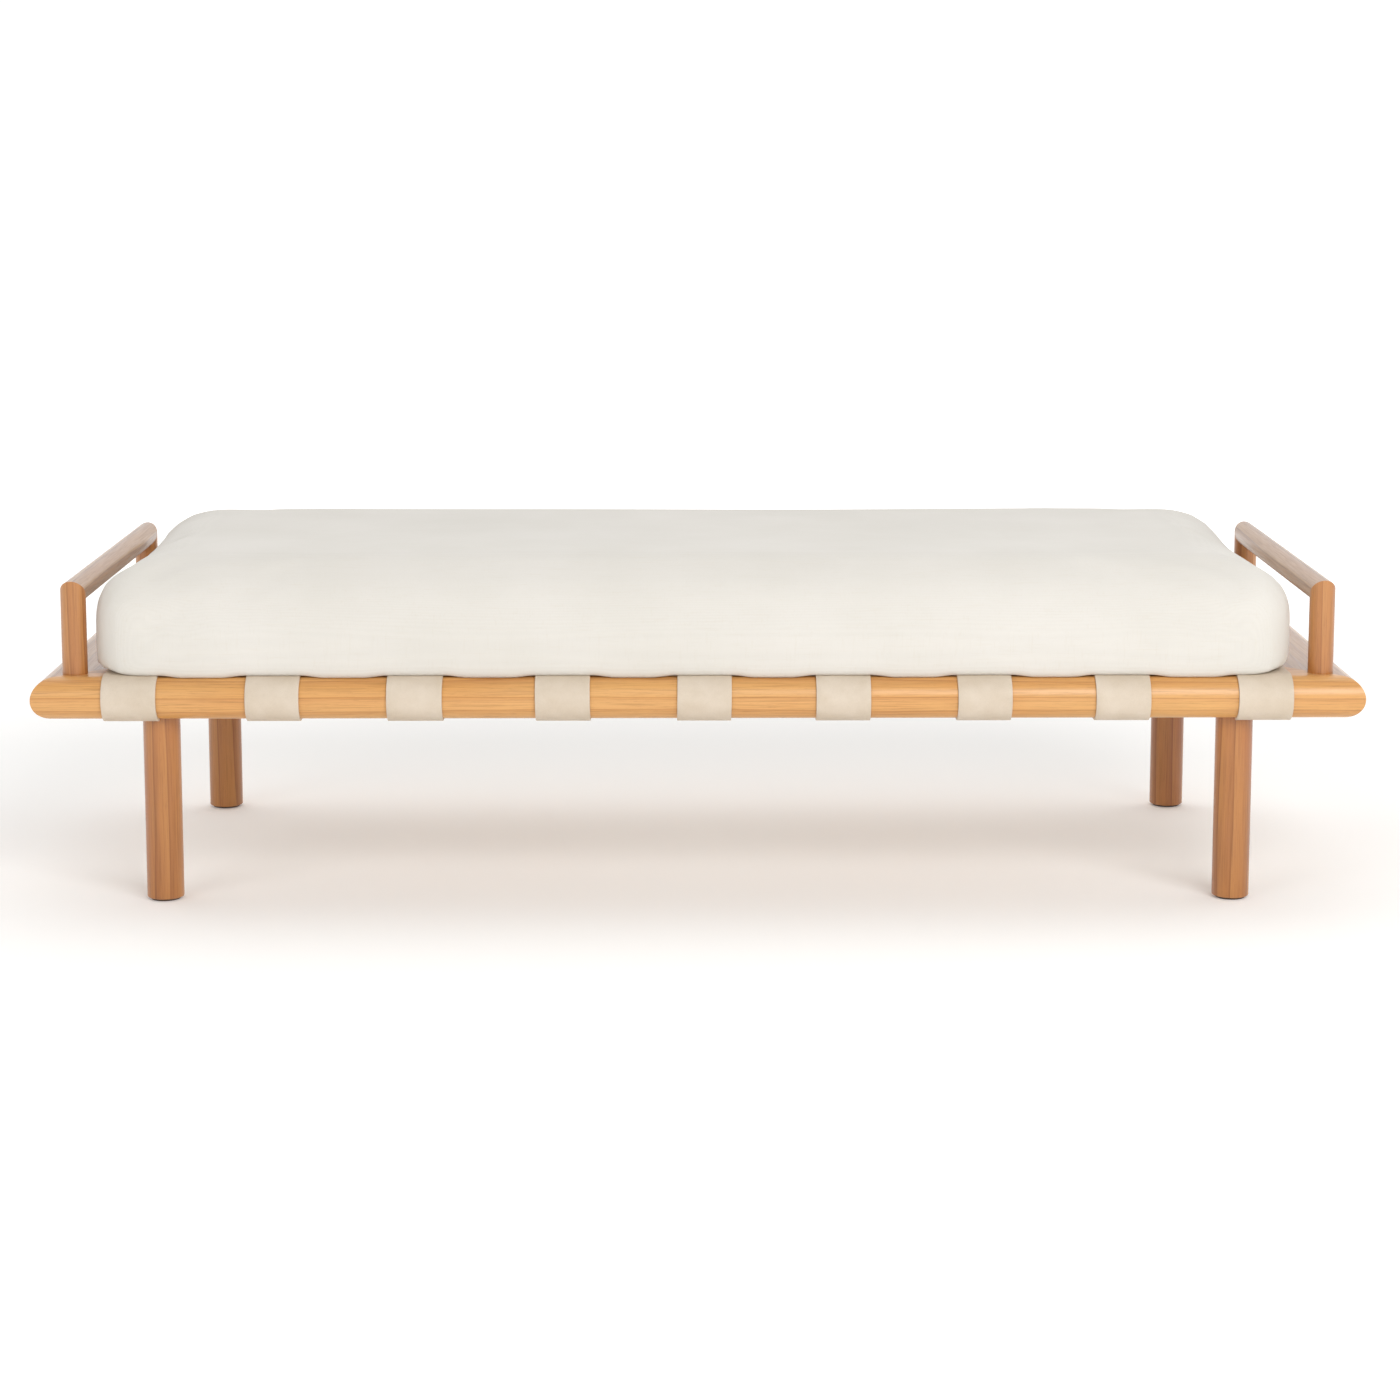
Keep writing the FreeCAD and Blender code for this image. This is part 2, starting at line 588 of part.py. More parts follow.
tenon_pattern = new_body("tenon_pattern")
tenon_section = new_sketch(tenon_pattern, "tenon_section", "XY_Plane")
draw_box(tenon_section, "-tenon_half_width", "tenon_half_width",
         "-tenon_half_length", "tenon_half_length")
add_pad(tenon_pattern, tenon_section, "tenon_body", "tenon_thickness", symmetric=True)
nodes.append(new_group("corner_tenons", tenon_pattern, [
    at(x * size("tenon_x"), y * size("tenon_y"), size("rail_middle"), turn=45 * x * y)
    for x, y in CORNERS]))


# ---------------------------------------------------------------- stretchers
# Two boards between the long rails, each midway between two straps and well below them.

def stretcher(side):
    body = new_body("stretcher_%s" % X_WORD[side], X_SIGN[side] + "stretcher_x", "0",
                    "stretcher_middle")
    section = new_sketch(body, "Section", "XZ_Plane")
    draw_box(section, "-stretcher_half_width", "stretcher_half_width",
             "-stretcher_half_thickness", "stretcher_half_thickness")
    add_pad(body, section, "Board", "stretcher_length", symmetric=True)
    top, bottom = size("stretcher_half_thickness"), size("-stretcher_half_thickness")
    long_enough = size("stretcher_end")

    def long_edge(edge):
        return edge.BoundBox.YLength > long_enough

    add_fillet(body, "EasedEdges", "stretcher_edge_radius", long_edge)
    end = new_sketch(body, "DowelCircles", "XZ_Plane", ("0", "0", "stretcher_end"))
    for name in ("-stretcher_dowel_half", "stretcher_dowel_half"):
        draw_circle(end, name, "0", "stretcher_dowel_radius")
    holes = add_pocket(body, end, "DowelHoles", "stretcher_dowel_depth")
    add_mirror(body, "OtherEnd", "XZ_Plane", [holes])
    return body


nodes += [stretcher(side) for side in SIDES]

stretcher_dowel = round_bar("stretcher_dowel_pattern", "stretcher_dowel_radius",
                            "stretcher_dowel_length")
dowel_start = size("stretcher_end") - size("stretcher_dowel_depth")
nodes.append(new_group("stretcher_dowels", stretcher_dowel, [
    at(x * size(name), y * dowel_start, size("stretcher_middle"), (1, 0, 0), -90 * y)
    for x, y in CORNERS for name in ("stretcher_dowel_near", "stretcher_dowel_far")]))


# ---------------------------------------------------------------- legs

def leg(x, y):
    body = new_body("leg_%s_%s" % (Y_WORD[y], X_WORD[x]), X_SIGN[x] + "leg_x",
                    X_SIGN[y] + "leg_y", "felt_thickness")
    section = new_sketch(body, "Section", "XY_Plane")
    draw_circle(section, "0", "0", "leg_radius")
    add_pad(body, section, "Turning", "leg_length")
    add_fillet(body, "EasedFoot", "leg_edge_radius", lambda edge: lies_at(edge, 0))
    top = new_sketch(body, "HangerCircle", "XY_Plane", ("0", "0", "leg_length"))
    draw_circle(top, "0", "0", "hanger_radius")
    add_pocket(body, top, "HangerHole", "hanger_in_leg")
    return body


def felt_pad(x, y):
    body = new_body("felt_pad_%s_%s" % (Y_WORD[y], X_WORD[x]), X_SIGN[x] + "leg_x",
                    X_SIGN[y] + "leg_y", "0")
    section = new_sketch(body, "Section", "XY_Plane")
    draw_circle(section, "0", "0", "felt_radius")
    add_pad(body, section, "Felt", "felt_thickness")
    return body


nodes += [leg(x, y) for x, y in CORNERS]
nodes += [felt_pad(x, y) for x, y in CORNERS]

leg_places = [(x * size("leg_x"), y * size("leg_y")) for x, y in CORNERS]
hanger_bolt = round_bar("hanger_bolt_pattern", "hanger_radius", "hanger_length")
nodes.append(new_group("leg_hanger_bolts", hanger_bolt, [
    at(x, y, size("hanger_foot")) for x, y in leg_places]))
leg_insert = round_tube("leg_insert_pattern", "leg_insert_radius", "hanger_radius",
                        "leg_insert_length")
nodes.append(new_group("leg_inserts", leg_insert, [
    at(x, y, size("leg_drop")) for x, y in leg_places]))


# ---------------------------------------------------------------- handles
# A post's own frame: z = 0 is where it stands on the rail, and its top is cut at 45 degrees,
# high on the outer side. The handle rail meets it there, and a dowel crosses the cut.

MITRE_TILT = -45


def post(x, y):
    body = new_body("upright_%s_%s" % (Y_WORD[y], X_WORD[x]), X_SIGN[x] + "post_x",
                    X_SIGN[y] + "post_y", "deck_height", Y_TURN[y])
    section = new_sketch(body, "Section", "XY_Plane")
    draw_circle(section, "0", "0", "post_radius")
    add_pad(body, section, "Turning", "handle_rise")
    mitre = new_sketch(body, "MitreOutline", "YZ_Plane")
    draw_outline(mitre, [("-cut_out", "post_cut_high"), ("cut_out", "post_cut_low"),
                         ("cut_out", "post_cut_high")])
    add_pocket(body, mitre, "Mitre", symmetric=True)
    dowel = new_sketch(body, "DowelCircle", "XY_Plane", ("0", "0", "handle_axis"), MITRE_TILT)
    draw_circle(dowel, "0", "0", "handle_dowel_radius")
    add_pocket(body, dowel, "DowelHole", "handle_dowel_length", symmetric=True)
    spigot = new_sketch(body, "SpigotCircle", "XY_Plane")
    draw_circle(spigot, "0", "0", "spigot_radius")
    add_pad(body, spigot, "Spigot", "spigot_length", reverse=True)
    insert = new_sketch(body, "InsertCircle", "XY_Plane", ("0", "0", "-spigot_length"))
    draw_circle(insert, "0", "0", "handle_insert_radius")
    add_pocket(body, insert, "InsertHole", "handle_insert_length", reverse=True)
    return body


def handle_rail(side):
    body = new_body("handle_rail_%s" % X_WORD[side], X_SIGN[side] + "post_x", "0",
                    "handle_middle")
    section = new_sketch(body, "Section", "XZ_Plane")
    draw_circle(section, "0", "0", "post_radius")
    add_pad(body, section, "Turning", "handle_length", symmetric=True)
    mitre = new_sketch(body, "MitreOutline", "YZ_Plane")
    draw_outline(mitre, [("-rail_cut_far", "cut_out"), ("-rail_cut_far", "-cut_out"),
                         ("-rail_cut_near", "-cut_out")])
    cuts = [add_pocket(body, mitre, "Mitre", symmetric=True)]
    dowel = new_sketch(body, "DowelCircle", "XY_Plane", ("0", "-post_y", "0"), MITRE_TILT)
    draw_circle(dowel, "0", "0", "handle_dowel_radius")
    cuts.append(add_pocket(body, dowel, "DowelHole", "handle_dowel_length", symmetric=True))
    add_mirror(body, "OtherEnd", "XZ_Plane", cuts)
    return body


nodes += [post(x, y) for x, y in CORNERS]
nodes += [handle_rail(side) for side in SIDES]

post_places = [(x * size("post_x"), y * size("post_y")) for x, y in CORNERS]
handle_dowel = round_bar("handle_dowel_pattern", "handle_dowel_radius", "handle_dowel_length")
half_dowel = size("handle_dowel_length") / 2
centred = at(0, 0, -half_dowel)
nodes.append(new_group("handle_dowels", handle_dowel, [
    at(x * size("post_x"), y * size("post_y"), size("handle_middle"), (1, 0, 0),
       -y * MITRE_TILT).multiply(centred)
    for x, y in CORNERS]))

handle_insert = round_tube("handle_insert_pattern", "handle_insert_radius",
                           "handle_bolt_radius", "handle_insert_length")
nodes.append(new_group("handle_inserts", handle_insert, [
    at(x, y, size("spigot_foot")) for x, y in post_places]))
handle_washer = round_tube("handle_washer_pattern", "washer_radius", "handle_bolt_radius",
                           "washer_thickness")
nodes.append(new_group("handle_washers", handle_washer, [
    at(x, y, size("handle_bolt_seat")) for x, y in post_places]))

handle_bolt = round_bar("handle_bolt_pattern", "handle_bolt_radius", "handle_bolt_length")
bolt_head = new_sketch(handle_bolt, "HeadCircle", "XY_Plane")
draw_circle(bolt_head, "0", "0", "bolt_head_radius")
add_pad(handle_bolt, bolt_head, "Head", "bolt_head_height", reverse=True)
nodes.append(new_group("handle_bolts", handle_bolt, [
    at(x, y, size("handle_bolt_seat")) for x, y in post_places]))


# ---------------------------------------------------------------- straps
# A strap's own frame: x = 0 is its middle and z = 0 the middle of the rails' thickness. It
# lies over both long rails, follows their bullnoses round and is screwed to their undersides.

def strap(number, word):
    body = new_body("strap_%d" % number, "strap_%s" % word, "0", "rail_middle")
    profile = new_sketch(body, "Profile", "YZ_Plane")
    back_outer = ("bullnose_y", "0", "strap_radius", -1)
    back_inner = ("bullnose_y", "0", "rail_radius", 1)
    front_outer = ("-bullnose_y", "0", "strap_radius", -1)
    front_inner = ("-bullnose_y", "0", "rail_radius", 1)
    draw_outline(profile, [
        ("-bullnose_y", "strap_radius"),
        ("bullnose_y", "strap_radius") + back_outer,
        ("strap_face_y", "0") + back_outer,
        ("bullnose_y", "-strap_radius"),
        ("strap_end_y", "-strap_radius"),
        ("strap_end_y", "-rail_radius"),
        ("bullnose_y", "-rail_radius") + back_inner,
        ("half_width", "0") + back_inner,
        ("bullnose_y", "rail_radius"),
        ("-bullnose_y", "rail_radius") + front_inner,
        ("-half_width", "0") + front_inner,
        ("-bullnose_y", "-rail_radius"),
        ("-strap_end_y", "-rail_radius"),
        ("-strap_end_y", "-strap_radius"),
        ("-bullnose_y", "-strap_radius") + front_outer,
        ("-strap_face_y", "0") + front_outer,
    ])
    add_pad(body, profile, "Leather", "strap_width", symmetric=True)
    below = ("0", "0", "-strap_radius")
    holes = new_sketch(body, "ScrewCircles", "XY_Plane", below)
    for name in ("hole_low_" + word, "hole_high_" + word):
        for y in ("-strap_screw_y", "strap_screw_y"):
            draw_circle(holes, name, y, "strap_hole_radius")
    add_pocket(body, holes, "ScrewHoles", "strap_thickness", reverse=True)
    notch = {1: "notch_left", STRAPS: "notch_right"}.get(number)
    if notch:
        round_leg = new_sketch(body, "NotchCircles", "XY_Plane", below)
        for y in ("-leg_y", "leg_y"):
            draw_circle(round_leg, notch, y, "notch_radius")
        add_pocket(body, round_leg, "Notches", "strap_thickness", reverse=True)
    return body


nodes += [strap(number, word) for number, word in enumerate(STRAP_WORDS, start=1)]

screw_places = [(size(name + word), y * size("strap_screw_y"))
                for word in STRAP_WORDS for name in ("screw_low_", "screw_high_")
                for y in SIDES]
strap_screw = round_bar("strap_screw_pattern", "strap_hole_radius", "screw_length")
screw_head = new_sketch(strap_screw, "HeadCircle", "XY_Plane")
draw_circle(screw_head, "0", "0", "screw_head_radius")
add_pad(strap_screw, screw_head, "Head", "screw_head_height", reverse=True)
nodes.append(new_group("strap_screws", strap_screw, [
    at(x, y, size("screw_seat")) for x, y in screw_places]))
strap_washer = round_tube("strap_washer_pattern", "screw_washer_radius", "strap_hole_radius",
                          "screw_washer_thickness")
nodes.append(new_group("strap_washers", strap_washer, [
    at(x, y, size("screw_seat")) for x, y in screw_places]))


# ---------------------------------------------------------------- mattress
# A foam slab, and a canvas cover that is the same shape all round it, one wall thicker.

def soft_block(label, half_length, half_depth, thickness, base, corner, top, bottom):
    body = new_body(label, "mattress_shift", "0", base)
    section = new_sketch(body, "Section", "XY_Plane")
    draw_box(section, flip(half_length), half_length, flip(half_depth), half_depth)
    add_pad(body, section, "Slab", thickness)
    add_fillet(body, "Corners", corner, stands_up)
    add_fillet(body, "TopEdge", top, lambda edge: lies_at(edge, size(thickness)))
    add_fillet(body, "BottomEdge", bottom, lambda edge: lies_at(edge, 0))
    return body


core = soft_block("mattress_core", "core_half_length", "core_half_depth", "core_thickness",
                  "core_base", "core_corner", "core_top_radius", "core_base_radius")
cover_block = soft_block("cover_block", "mattress_half_length", "mattress_half_depth",
                         "mattress_thickness", "mattress_base", "mattress_corner",
                         "mattress_top_radius", "mattress_base_radius")
cover = doc.addObject("Part::Cut", "mattress_cover")
cover.Label = "mattress_cover"
cover.Base = cover_block
cover.Tool = core
nodes += [core, cover]


# ---------------------------------------------------------------- zip
# The zip lies along the cover's back. Its pieces share a frame whose y = 0 is the cover's
# back face, except where they stand on the tape. The slider rests at the closed end, +X.

def back_strip(label, x, y, left, right, half_height, thickness):
    """A flat strip that stands out from the cover's back."""
    body = new_body(label, x, y, "zip_middle")
    section = new_sketch(body, "Section", "XZ_Plane")
    draw_box(section, left, right, flip(half_height), half_height)
    add_pad(body, section, "Strip", thickness, reverse=True)
    return body


nodes.append(back_strip("zip_tape", "mattress_shift", "mattress_half_depth", "-zip_tape_half",
                        "zip_tape_half", "zip_tape_half_height", "zip_tape_thickness"))
nodes.append(back_strip("zip_chain", "mattress_shift", "zip_face_y", "-zip_chain_half",
                        "zip_chain_half", "zip_chain_half_height", "zip_chain_thickness"))

stop_pattern = new_body("zip_stop_pattern", "mattress_shift", "zip_face_y", "zip_middle")
stop_section = new_sketch(stop_pattern, "Section", "XZ_Plane")
draw_box(stop_section, "zip_chain_half", "zip_half_length",
         "-zip_stop_half_height", "zip_stop_half_height")
add_pad(stop_pattern, stop_section, "Stop", "zip_chain_thickness", reverse=True)
stop_travel = size("zip_half_length") + size("zip_chain_half")
nodes.append(new_group("zip_stops", stop_pattern, [at(0, 0, 0), at(-stop_travel, 0, 0)]))


def zip_slider():
    """The slider's body straddles the teeth, and two lugs on it hold the pull's pin."""
    body = new_body("zip_slider", "slider_place", "zip_face_y", "zip_middle")
    lifted = ("0", "0", "-slider_clearance")
    section = new_sketch(body, "Section", "XZ_Plane", lifted)
    draw_box(section, "-slider_half_length", "slider_half_length",
             "-slider_half_height", "slider_half_height")
    add_pad(body, section, "Housing", "slider_depth", reverse=True)
    channel = new_sketch(body, "ChannelOutline", "YZ_Plane")
    draw_box(channel, "0", "channel_depth", "-channel_half_height", "channel_half_height")
    add_pocket(body, channel, "Channel", symmetric=True)
    for name, low, high in (("LowerLug", "-lug_outer", "-lug_inner"),
                            ("UpperLug", "lug_inner", "lug_outer")):
        foot = new_sketch(body, name + "Outline", "YZ_Plane")
        draw_box(foot, "slider_depth", "lug_top", low, high)
        add_pad(body, foot, name, "lug_width", symmetric=True)
    pin = new_sketch(body, "PinCircle", "XY_Plane")
    draw_circle(pin, "0", "pin_rise", "pin_radius")
    add_pad(body, pin, "Pin", "pin_length", symmetric=True)
    return body


def zip_pull():
    """A flat tab with an eye at one end, lying back along the closed zip."""
    body = new_body("zip_pull", "slider_place", "pin_y", "zip_middle")
    eye = new_sketch(body, "EyeCircle", "XY_Plane")
    draw_circle(eye, "0", "0", "pull_eye_radius")
    add_pad(body, eye, "Eye", "pull_height", symmetric=True)
    tab = new_sketch(body, "TabOutline", "XY_Plane")
    draw_box(tab, "-pull_length", "0", "-pull_half_thickness", "pull_half_thickness")
    add_pad(body, tab, "Tab", "pull_height", symmetric=True)
    bore = new_sketch(body, "BoreCircle", "XY_Plane")
    draw_circle(bore, "0", "0", "pull_bore_radius")
    add_pocket(body, bore, "Bore", symmetric=True)
    return body


nodes += [zip_slider(), zip_pull()]


# ---------------------------------------------------------------- check and write

doc.recompute()
for thing in doc.Objects:
    if "Invalid" in thing.State or "Error" in thing.State:
        raise ValueError("%s failed to build: %s" % (thing.Label, thing.State))
for node in nodes:
    if node.Shape.isNull() or not node.Shape.isValid() or not node.Shape.Solids:
        raise ValueError("%s has no sound shape" % node.Label)

os.makedirs("parts", exist_ok=True)
for node in nodes:
    node.Shape.exportStep("parts/%s.step" % node.Label)
print("%d nodes written" % len(nodes))
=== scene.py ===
# %% [markdown]
# # A daybed in hardwood, leather and canvas
# The bed's frame, legs, handles and fasteners come ready made from the design model, and they
# are loaded first. Everything after that dresses them. Wood, metal and felt finishes go on
# the pieces that are already the right shape. The soft pieces and the small hardware are
# modelled here, each in the place that its plain stand-in holds.

# %% Load the frame
import json
import math

import bmesh
import bpy
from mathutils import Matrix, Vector, noise


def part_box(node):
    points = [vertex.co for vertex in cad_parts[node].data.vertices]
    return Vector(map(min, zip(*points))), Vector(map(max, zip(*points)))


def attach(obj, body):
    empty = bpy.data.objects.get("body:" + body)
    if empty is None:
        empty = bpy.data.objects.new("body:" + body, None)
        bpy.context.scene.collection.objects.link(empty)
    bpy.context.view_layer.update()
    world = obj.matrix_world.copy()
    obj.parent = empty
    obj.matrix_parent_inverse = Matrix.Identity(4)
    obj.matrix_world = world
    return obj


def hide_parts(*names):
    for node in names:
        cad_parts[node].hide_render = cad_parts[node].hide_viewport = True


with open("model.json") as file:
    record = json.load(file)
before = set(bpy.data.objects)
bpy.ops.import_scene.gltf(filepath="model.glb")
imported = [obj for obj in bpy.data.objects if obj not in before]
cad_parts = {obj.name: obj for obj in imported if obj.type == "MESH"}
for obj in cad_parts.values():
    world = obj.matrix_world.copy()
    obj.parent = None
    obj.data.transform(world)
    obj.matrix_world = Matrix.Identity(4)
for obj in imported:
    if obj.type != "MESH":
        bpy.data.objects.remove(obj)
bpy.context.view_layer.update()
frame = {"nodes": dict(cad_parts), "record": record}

# %% [markdown]
# Lengths read best in millimetres, so one value turns them into the scene's metres. The rest
# of this cell asks the loaded frame where things are: every later step starts from these.

# %% Places read from the frame
MM = 0.001
scene = bpy.context.scene

rail_low, rail_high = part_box("front_rail")
RAIL_RADIUS = (rail_high.z - rail_low.z) / 2
RAIL_MIDDLE = (rail_high.z + rail_low.z) / 2
DECK = rail_high.z
FRONT_FACE = rail_low.y
BULLNOSE = -FRONT_FACE - RAIL_RADIUS
INNER_EDGE = -rail_high.y
STRAPS = sorted(name for name in frame["nodes"] if name[:6] == "strap_" and name[6:].isdigit())
print("rail radius", round(RAIL_RADIUS / MM, 1), "mm, deck", round(DECK / MM, 1), "mm up,",
      len(STRAPS), "straps")

# %% [markdown]
# ## Camera
# The bed is seen almost square on, from just above table height and some four and a half
# metres away. A long lens keeps the two ends nearly parallel. A small downward shift does
# what a view camera does: it frames the bed without tipping the camera so far that the legs
# lean inwards.

# %% Camera
LENS = 79.57
STAND_BACK = 4.552
EYE_HEIGHT = 1.188
SIDE_STEP = -0.024
TILT = 8.228
TURN = -0.327
SHIFT = -0.1

camera_data = bpy.data.cameras.new("camera")
camera = bpy.data.objects.new("camera", camera_data)
scene.collection.objects.link(camera)
scene.camera = camera
camera_data.lens = LENS
camera_data.shift_y = SHIFT
camera.location = (SIDE_STEP, FRONT_FACE - STAND_BACK, EYE_HEIGHT)
camera.rotation_euler = (math.radians(90 - TILT), 0, math.radians(TURN))
print("camera", round(STAND_BACK, 2), "m in front, lens", LENS, "mm")

# %% [markdown]
# ## Nodes by hand
# Every finish below is a small tree of nodes. Two helpers do most of the work. One
# turns a paint chart's hex colour into the linear numbers that Blender's sockets take. The
# other adds any node at all, with its settings and its links in one line. Two more set a
# ramp's colours and start a material.

# %% Colour and node helpers
def linear(code):
    """A colour from its sRGB hex code, as the linear numbers that Blender's sockets take."""
    parts = [int(code[index:index + 2], 16) / 255 for index in (1, 3, 5)]
    return tuple(part / 12.92 if part <= 0.04045 else ((part + 0.055) / 1.055) ** 2.4
                 for part in parts) + (1.0,)


def add_node(tree, kind, settings=None, **links):
    """One node: settings are its options, socket values or links, links feed sockets by name."""
    node = tree.nodes.new(kind)
    for key, value in (settings or {}).items():
        if isinstance(key, str) and hasattr(node, key):
            setattr(node, key, value)
        else:
            dress(tree, node, {key: value})
    for name, source in links.items():
        socket = [s for s in node.inputs if s.name.replace(" ", "_") == name and s.enabled][0]
        tree.links.new(source, socket)
    return node


def set_stops(ramp, stops):
    """Colour stops of a ramp, as (place, hex colour) pairs."""
    band = ramp.color_ramp.elements
    while len(band) < len(stops):
        band.new(0.5)
    for stop, (place, code) in zip(band, stops):
        stop.position = place
        stop.color = linear(code)


def dress(tree, shader, looks):
    """The shader's own sockets by name: a value is set, a pattern's output is linked."""
    for name, look in looks.items():
        if isinstance(look, bpy.types.NodeSocket):
            tree.links.new(look, shader.inputs[name])
        else:
            shader.inputs[name].default_value = look


def new_material(name):
    """A new material, its node tree and its shader."""
    material = bpy.data.materials.new(name)
    material.use_nodes = True
    return material, material.node_tree, material.node_tree.nodes["Principled BSDF"]


print("a mid grey in linear numbers:", [round(v, 3) for v in linear("#808080")[:3]])

# %% [markdown]
# ## Studio
# A white studio: a plain pale floor that runs back into a white wall, one large soft lamp
# high in front and a little to the right, and a weaker one to the left. The wall behind the
# bed is bright down to the horizon, so level wood shines white at a glancing angle. The room
# behind the camera is dim, as a real studio's is, and that keeps the shade under the bed.
# Seen straight, the backdrop is plain white on every side; only the light it gives varies.

# %% Sky of the studio
scene.view_settings.view_transform = "Standard"

world = bpy.data.worlds.new("studio")
scene.world = world
world.use_nodes = True
sky = world.node_tree
sky.nodes.clear()
direction = add_node(sky, "ShaderNodeTexCoord")
split = add_node(sky, "ShaderNodeSeparateXYZ", Vector=direction.outputs["Generated"])
wall = add_node(sky, "ShaderNodeMapRange", {"From Min": -0.25, "From Max": 0.35,
                                            "To Min": 0.22, "To Max": 1.0},
                Value=split.outputs["Y"])
ceiling = add_node(sky, "ShaderNodeMapRange", {"From Min": 0.15, "From Max": 0.75,
                                               "To Min": 1.05, "To Max": 1.35},
                   Value=split.outputs["Z"])
level = add_node(sky, "ShaderNodeMath", {"operation": "MULTIPLY", 0: wall.outputs["Result"],
                                         1: ceiling.outputs["Result"]})
rays = add_node(sky, "ShaderNodeLightPath")
plain = add_node(sky, "ShaderNodeMath", {"operation": "MAXIMUM", 0: level.outputs["Value"],
                                         1: rays.outputs["Is Camera Ray"]})
glow = add_node(sky, "ShaderNodeBackground", {"Color": (1.0, 1.0, 1.0, 1.0)},
                Strength=plain.outputs["Value"])
add_node(sky, "ShaderNodeOutputWorld", Surface=glow.outputs["Background"])

# %% Floor and lamps
FLOOR_SIZE = 400.0
GLOW_NEAR = 1.2
GLOW_FAR = 5.0

bpy.ops.object.select_all(action="DESELECT")
bpy.ops.mesh.primitive_plane_add(size=FLOOR_SIZE, location=(0, 0, -0.3 * MM))
floor = bpy.context.object
floor.name = "floor"
floor_paint, tree, shader = new_material("matt_white_studio_floor")
place = add_node(tree, "ShaderNodeTexCoord")
reach = add_node(tree, "ShaderNodeVectorMath", {"operation": "LENGTH"},
                 Vector=place.outputs["Object"])
lift = add_node(tree, "ShaderNodeMapRange", {"From Min": GLOW_NEAR, "From Max": GLOW_FAR,
                                             "To Min": 0.14, "To Max": 0.7},
                Value=reach.outputs["Value"])
dress(tree, shader, {"Base Color": linear("#f2f1ef"), "Roughness": 0.9,
                     "Emission Color": (1.0, 1.0, 1.0, 1.0),
                     "Emission Strength": lift.outputs["Result"]})
floor.data.materials.append(floor_paint)


def soft_light(name, place, target, width, depth, power):
    """A rectangular softbox at a place, turned to its target."""
    lamp = bpy.data.lights.new(name, "AREA")
    lamp.shape = "RECTANGLE"
    lamp.size = width
    lamp.size_y = depth
    lamp.energy = power
    holder = bpy.data.objects.new(name, lamp)
    holder.location = place
    aim = Vector(target) - Vector(place)
    holder.rotation_euler = aim.to_track_quat("-Z", "Y").to_euler()
    scene.collection.objects.link(holder)
    return holder


soft_light("key_light", (2.2, -4.6, 3.3), (0.1, 0, 0.35), 3.6, 2.4, 178)
soft_light("fill_light", (-3.4, -4.4, 2.9), (0, 0, 0.3), 3.0, 2.0, 60)
print("floor", FLOOR_SIZE, "m across, two lamps")

# %% [markdown]
# ## Hardwood
# The frame is a honey-coloured hardwood, planed, sanded and wiped with a satin hard-wax oil.
# Three things make wood look like wood: growth lines that run the length of a board, fine
# fibres between them, and slow changes of tone from one place to the next. A flat picture of
# wood can't bend round a bullnose, so all three are patterns in space. Each is squeezed along
# the grain, and the squeeze points along the board: X for the long rails, Y across the bed,
# Z up the posts and legs. Growth lines are rings round a pith that lies outside the board.

# %% Hardwood
GROWTH_SPACING = 21 * MM
FIBRE_WIDTH = 2.2 * MM          # real fibres are finer: this is as coarse as shows
PORE_WIDTH = 0.9 * MM
PATCH_SIZE = 90 * MM


def stretched(tree, grain, factor, shift=(0, 0, 0)):
    """Object coordinates drawn out along the grain by a factor, and moved by a shift."""
    place = add_node(tree, "ShaderNodeTexCoord")
    scale = [1.0, 1.0, 1.0]
    scale[grain] = 1 / factor
    node = add_node(tree, "ShaderNodeMapping", {"Scale": scale, "Location": shift},
                    Vector=place.outputs["Object"])
    return node.outputs["Vector"]


def mixed(tree, blend, factor, first, second):
    """Two colours mixed; the factor, the first or the second may be a socket or a value."""
    node = tree.nodes.new("ShaderNodeMix")
    node.data_type = "RGBA"
    node.blend_type = blend
    for socket, value in ((node.inputs[0], factor), (node.inputs[6], first),
                          (node.inputs[7], second)):
        if isinstance(value, bpy.types.NodeSocket):
            tree.links.new(value, socket)
        else:
            socket.default_value = value
    return node.outputs[2]


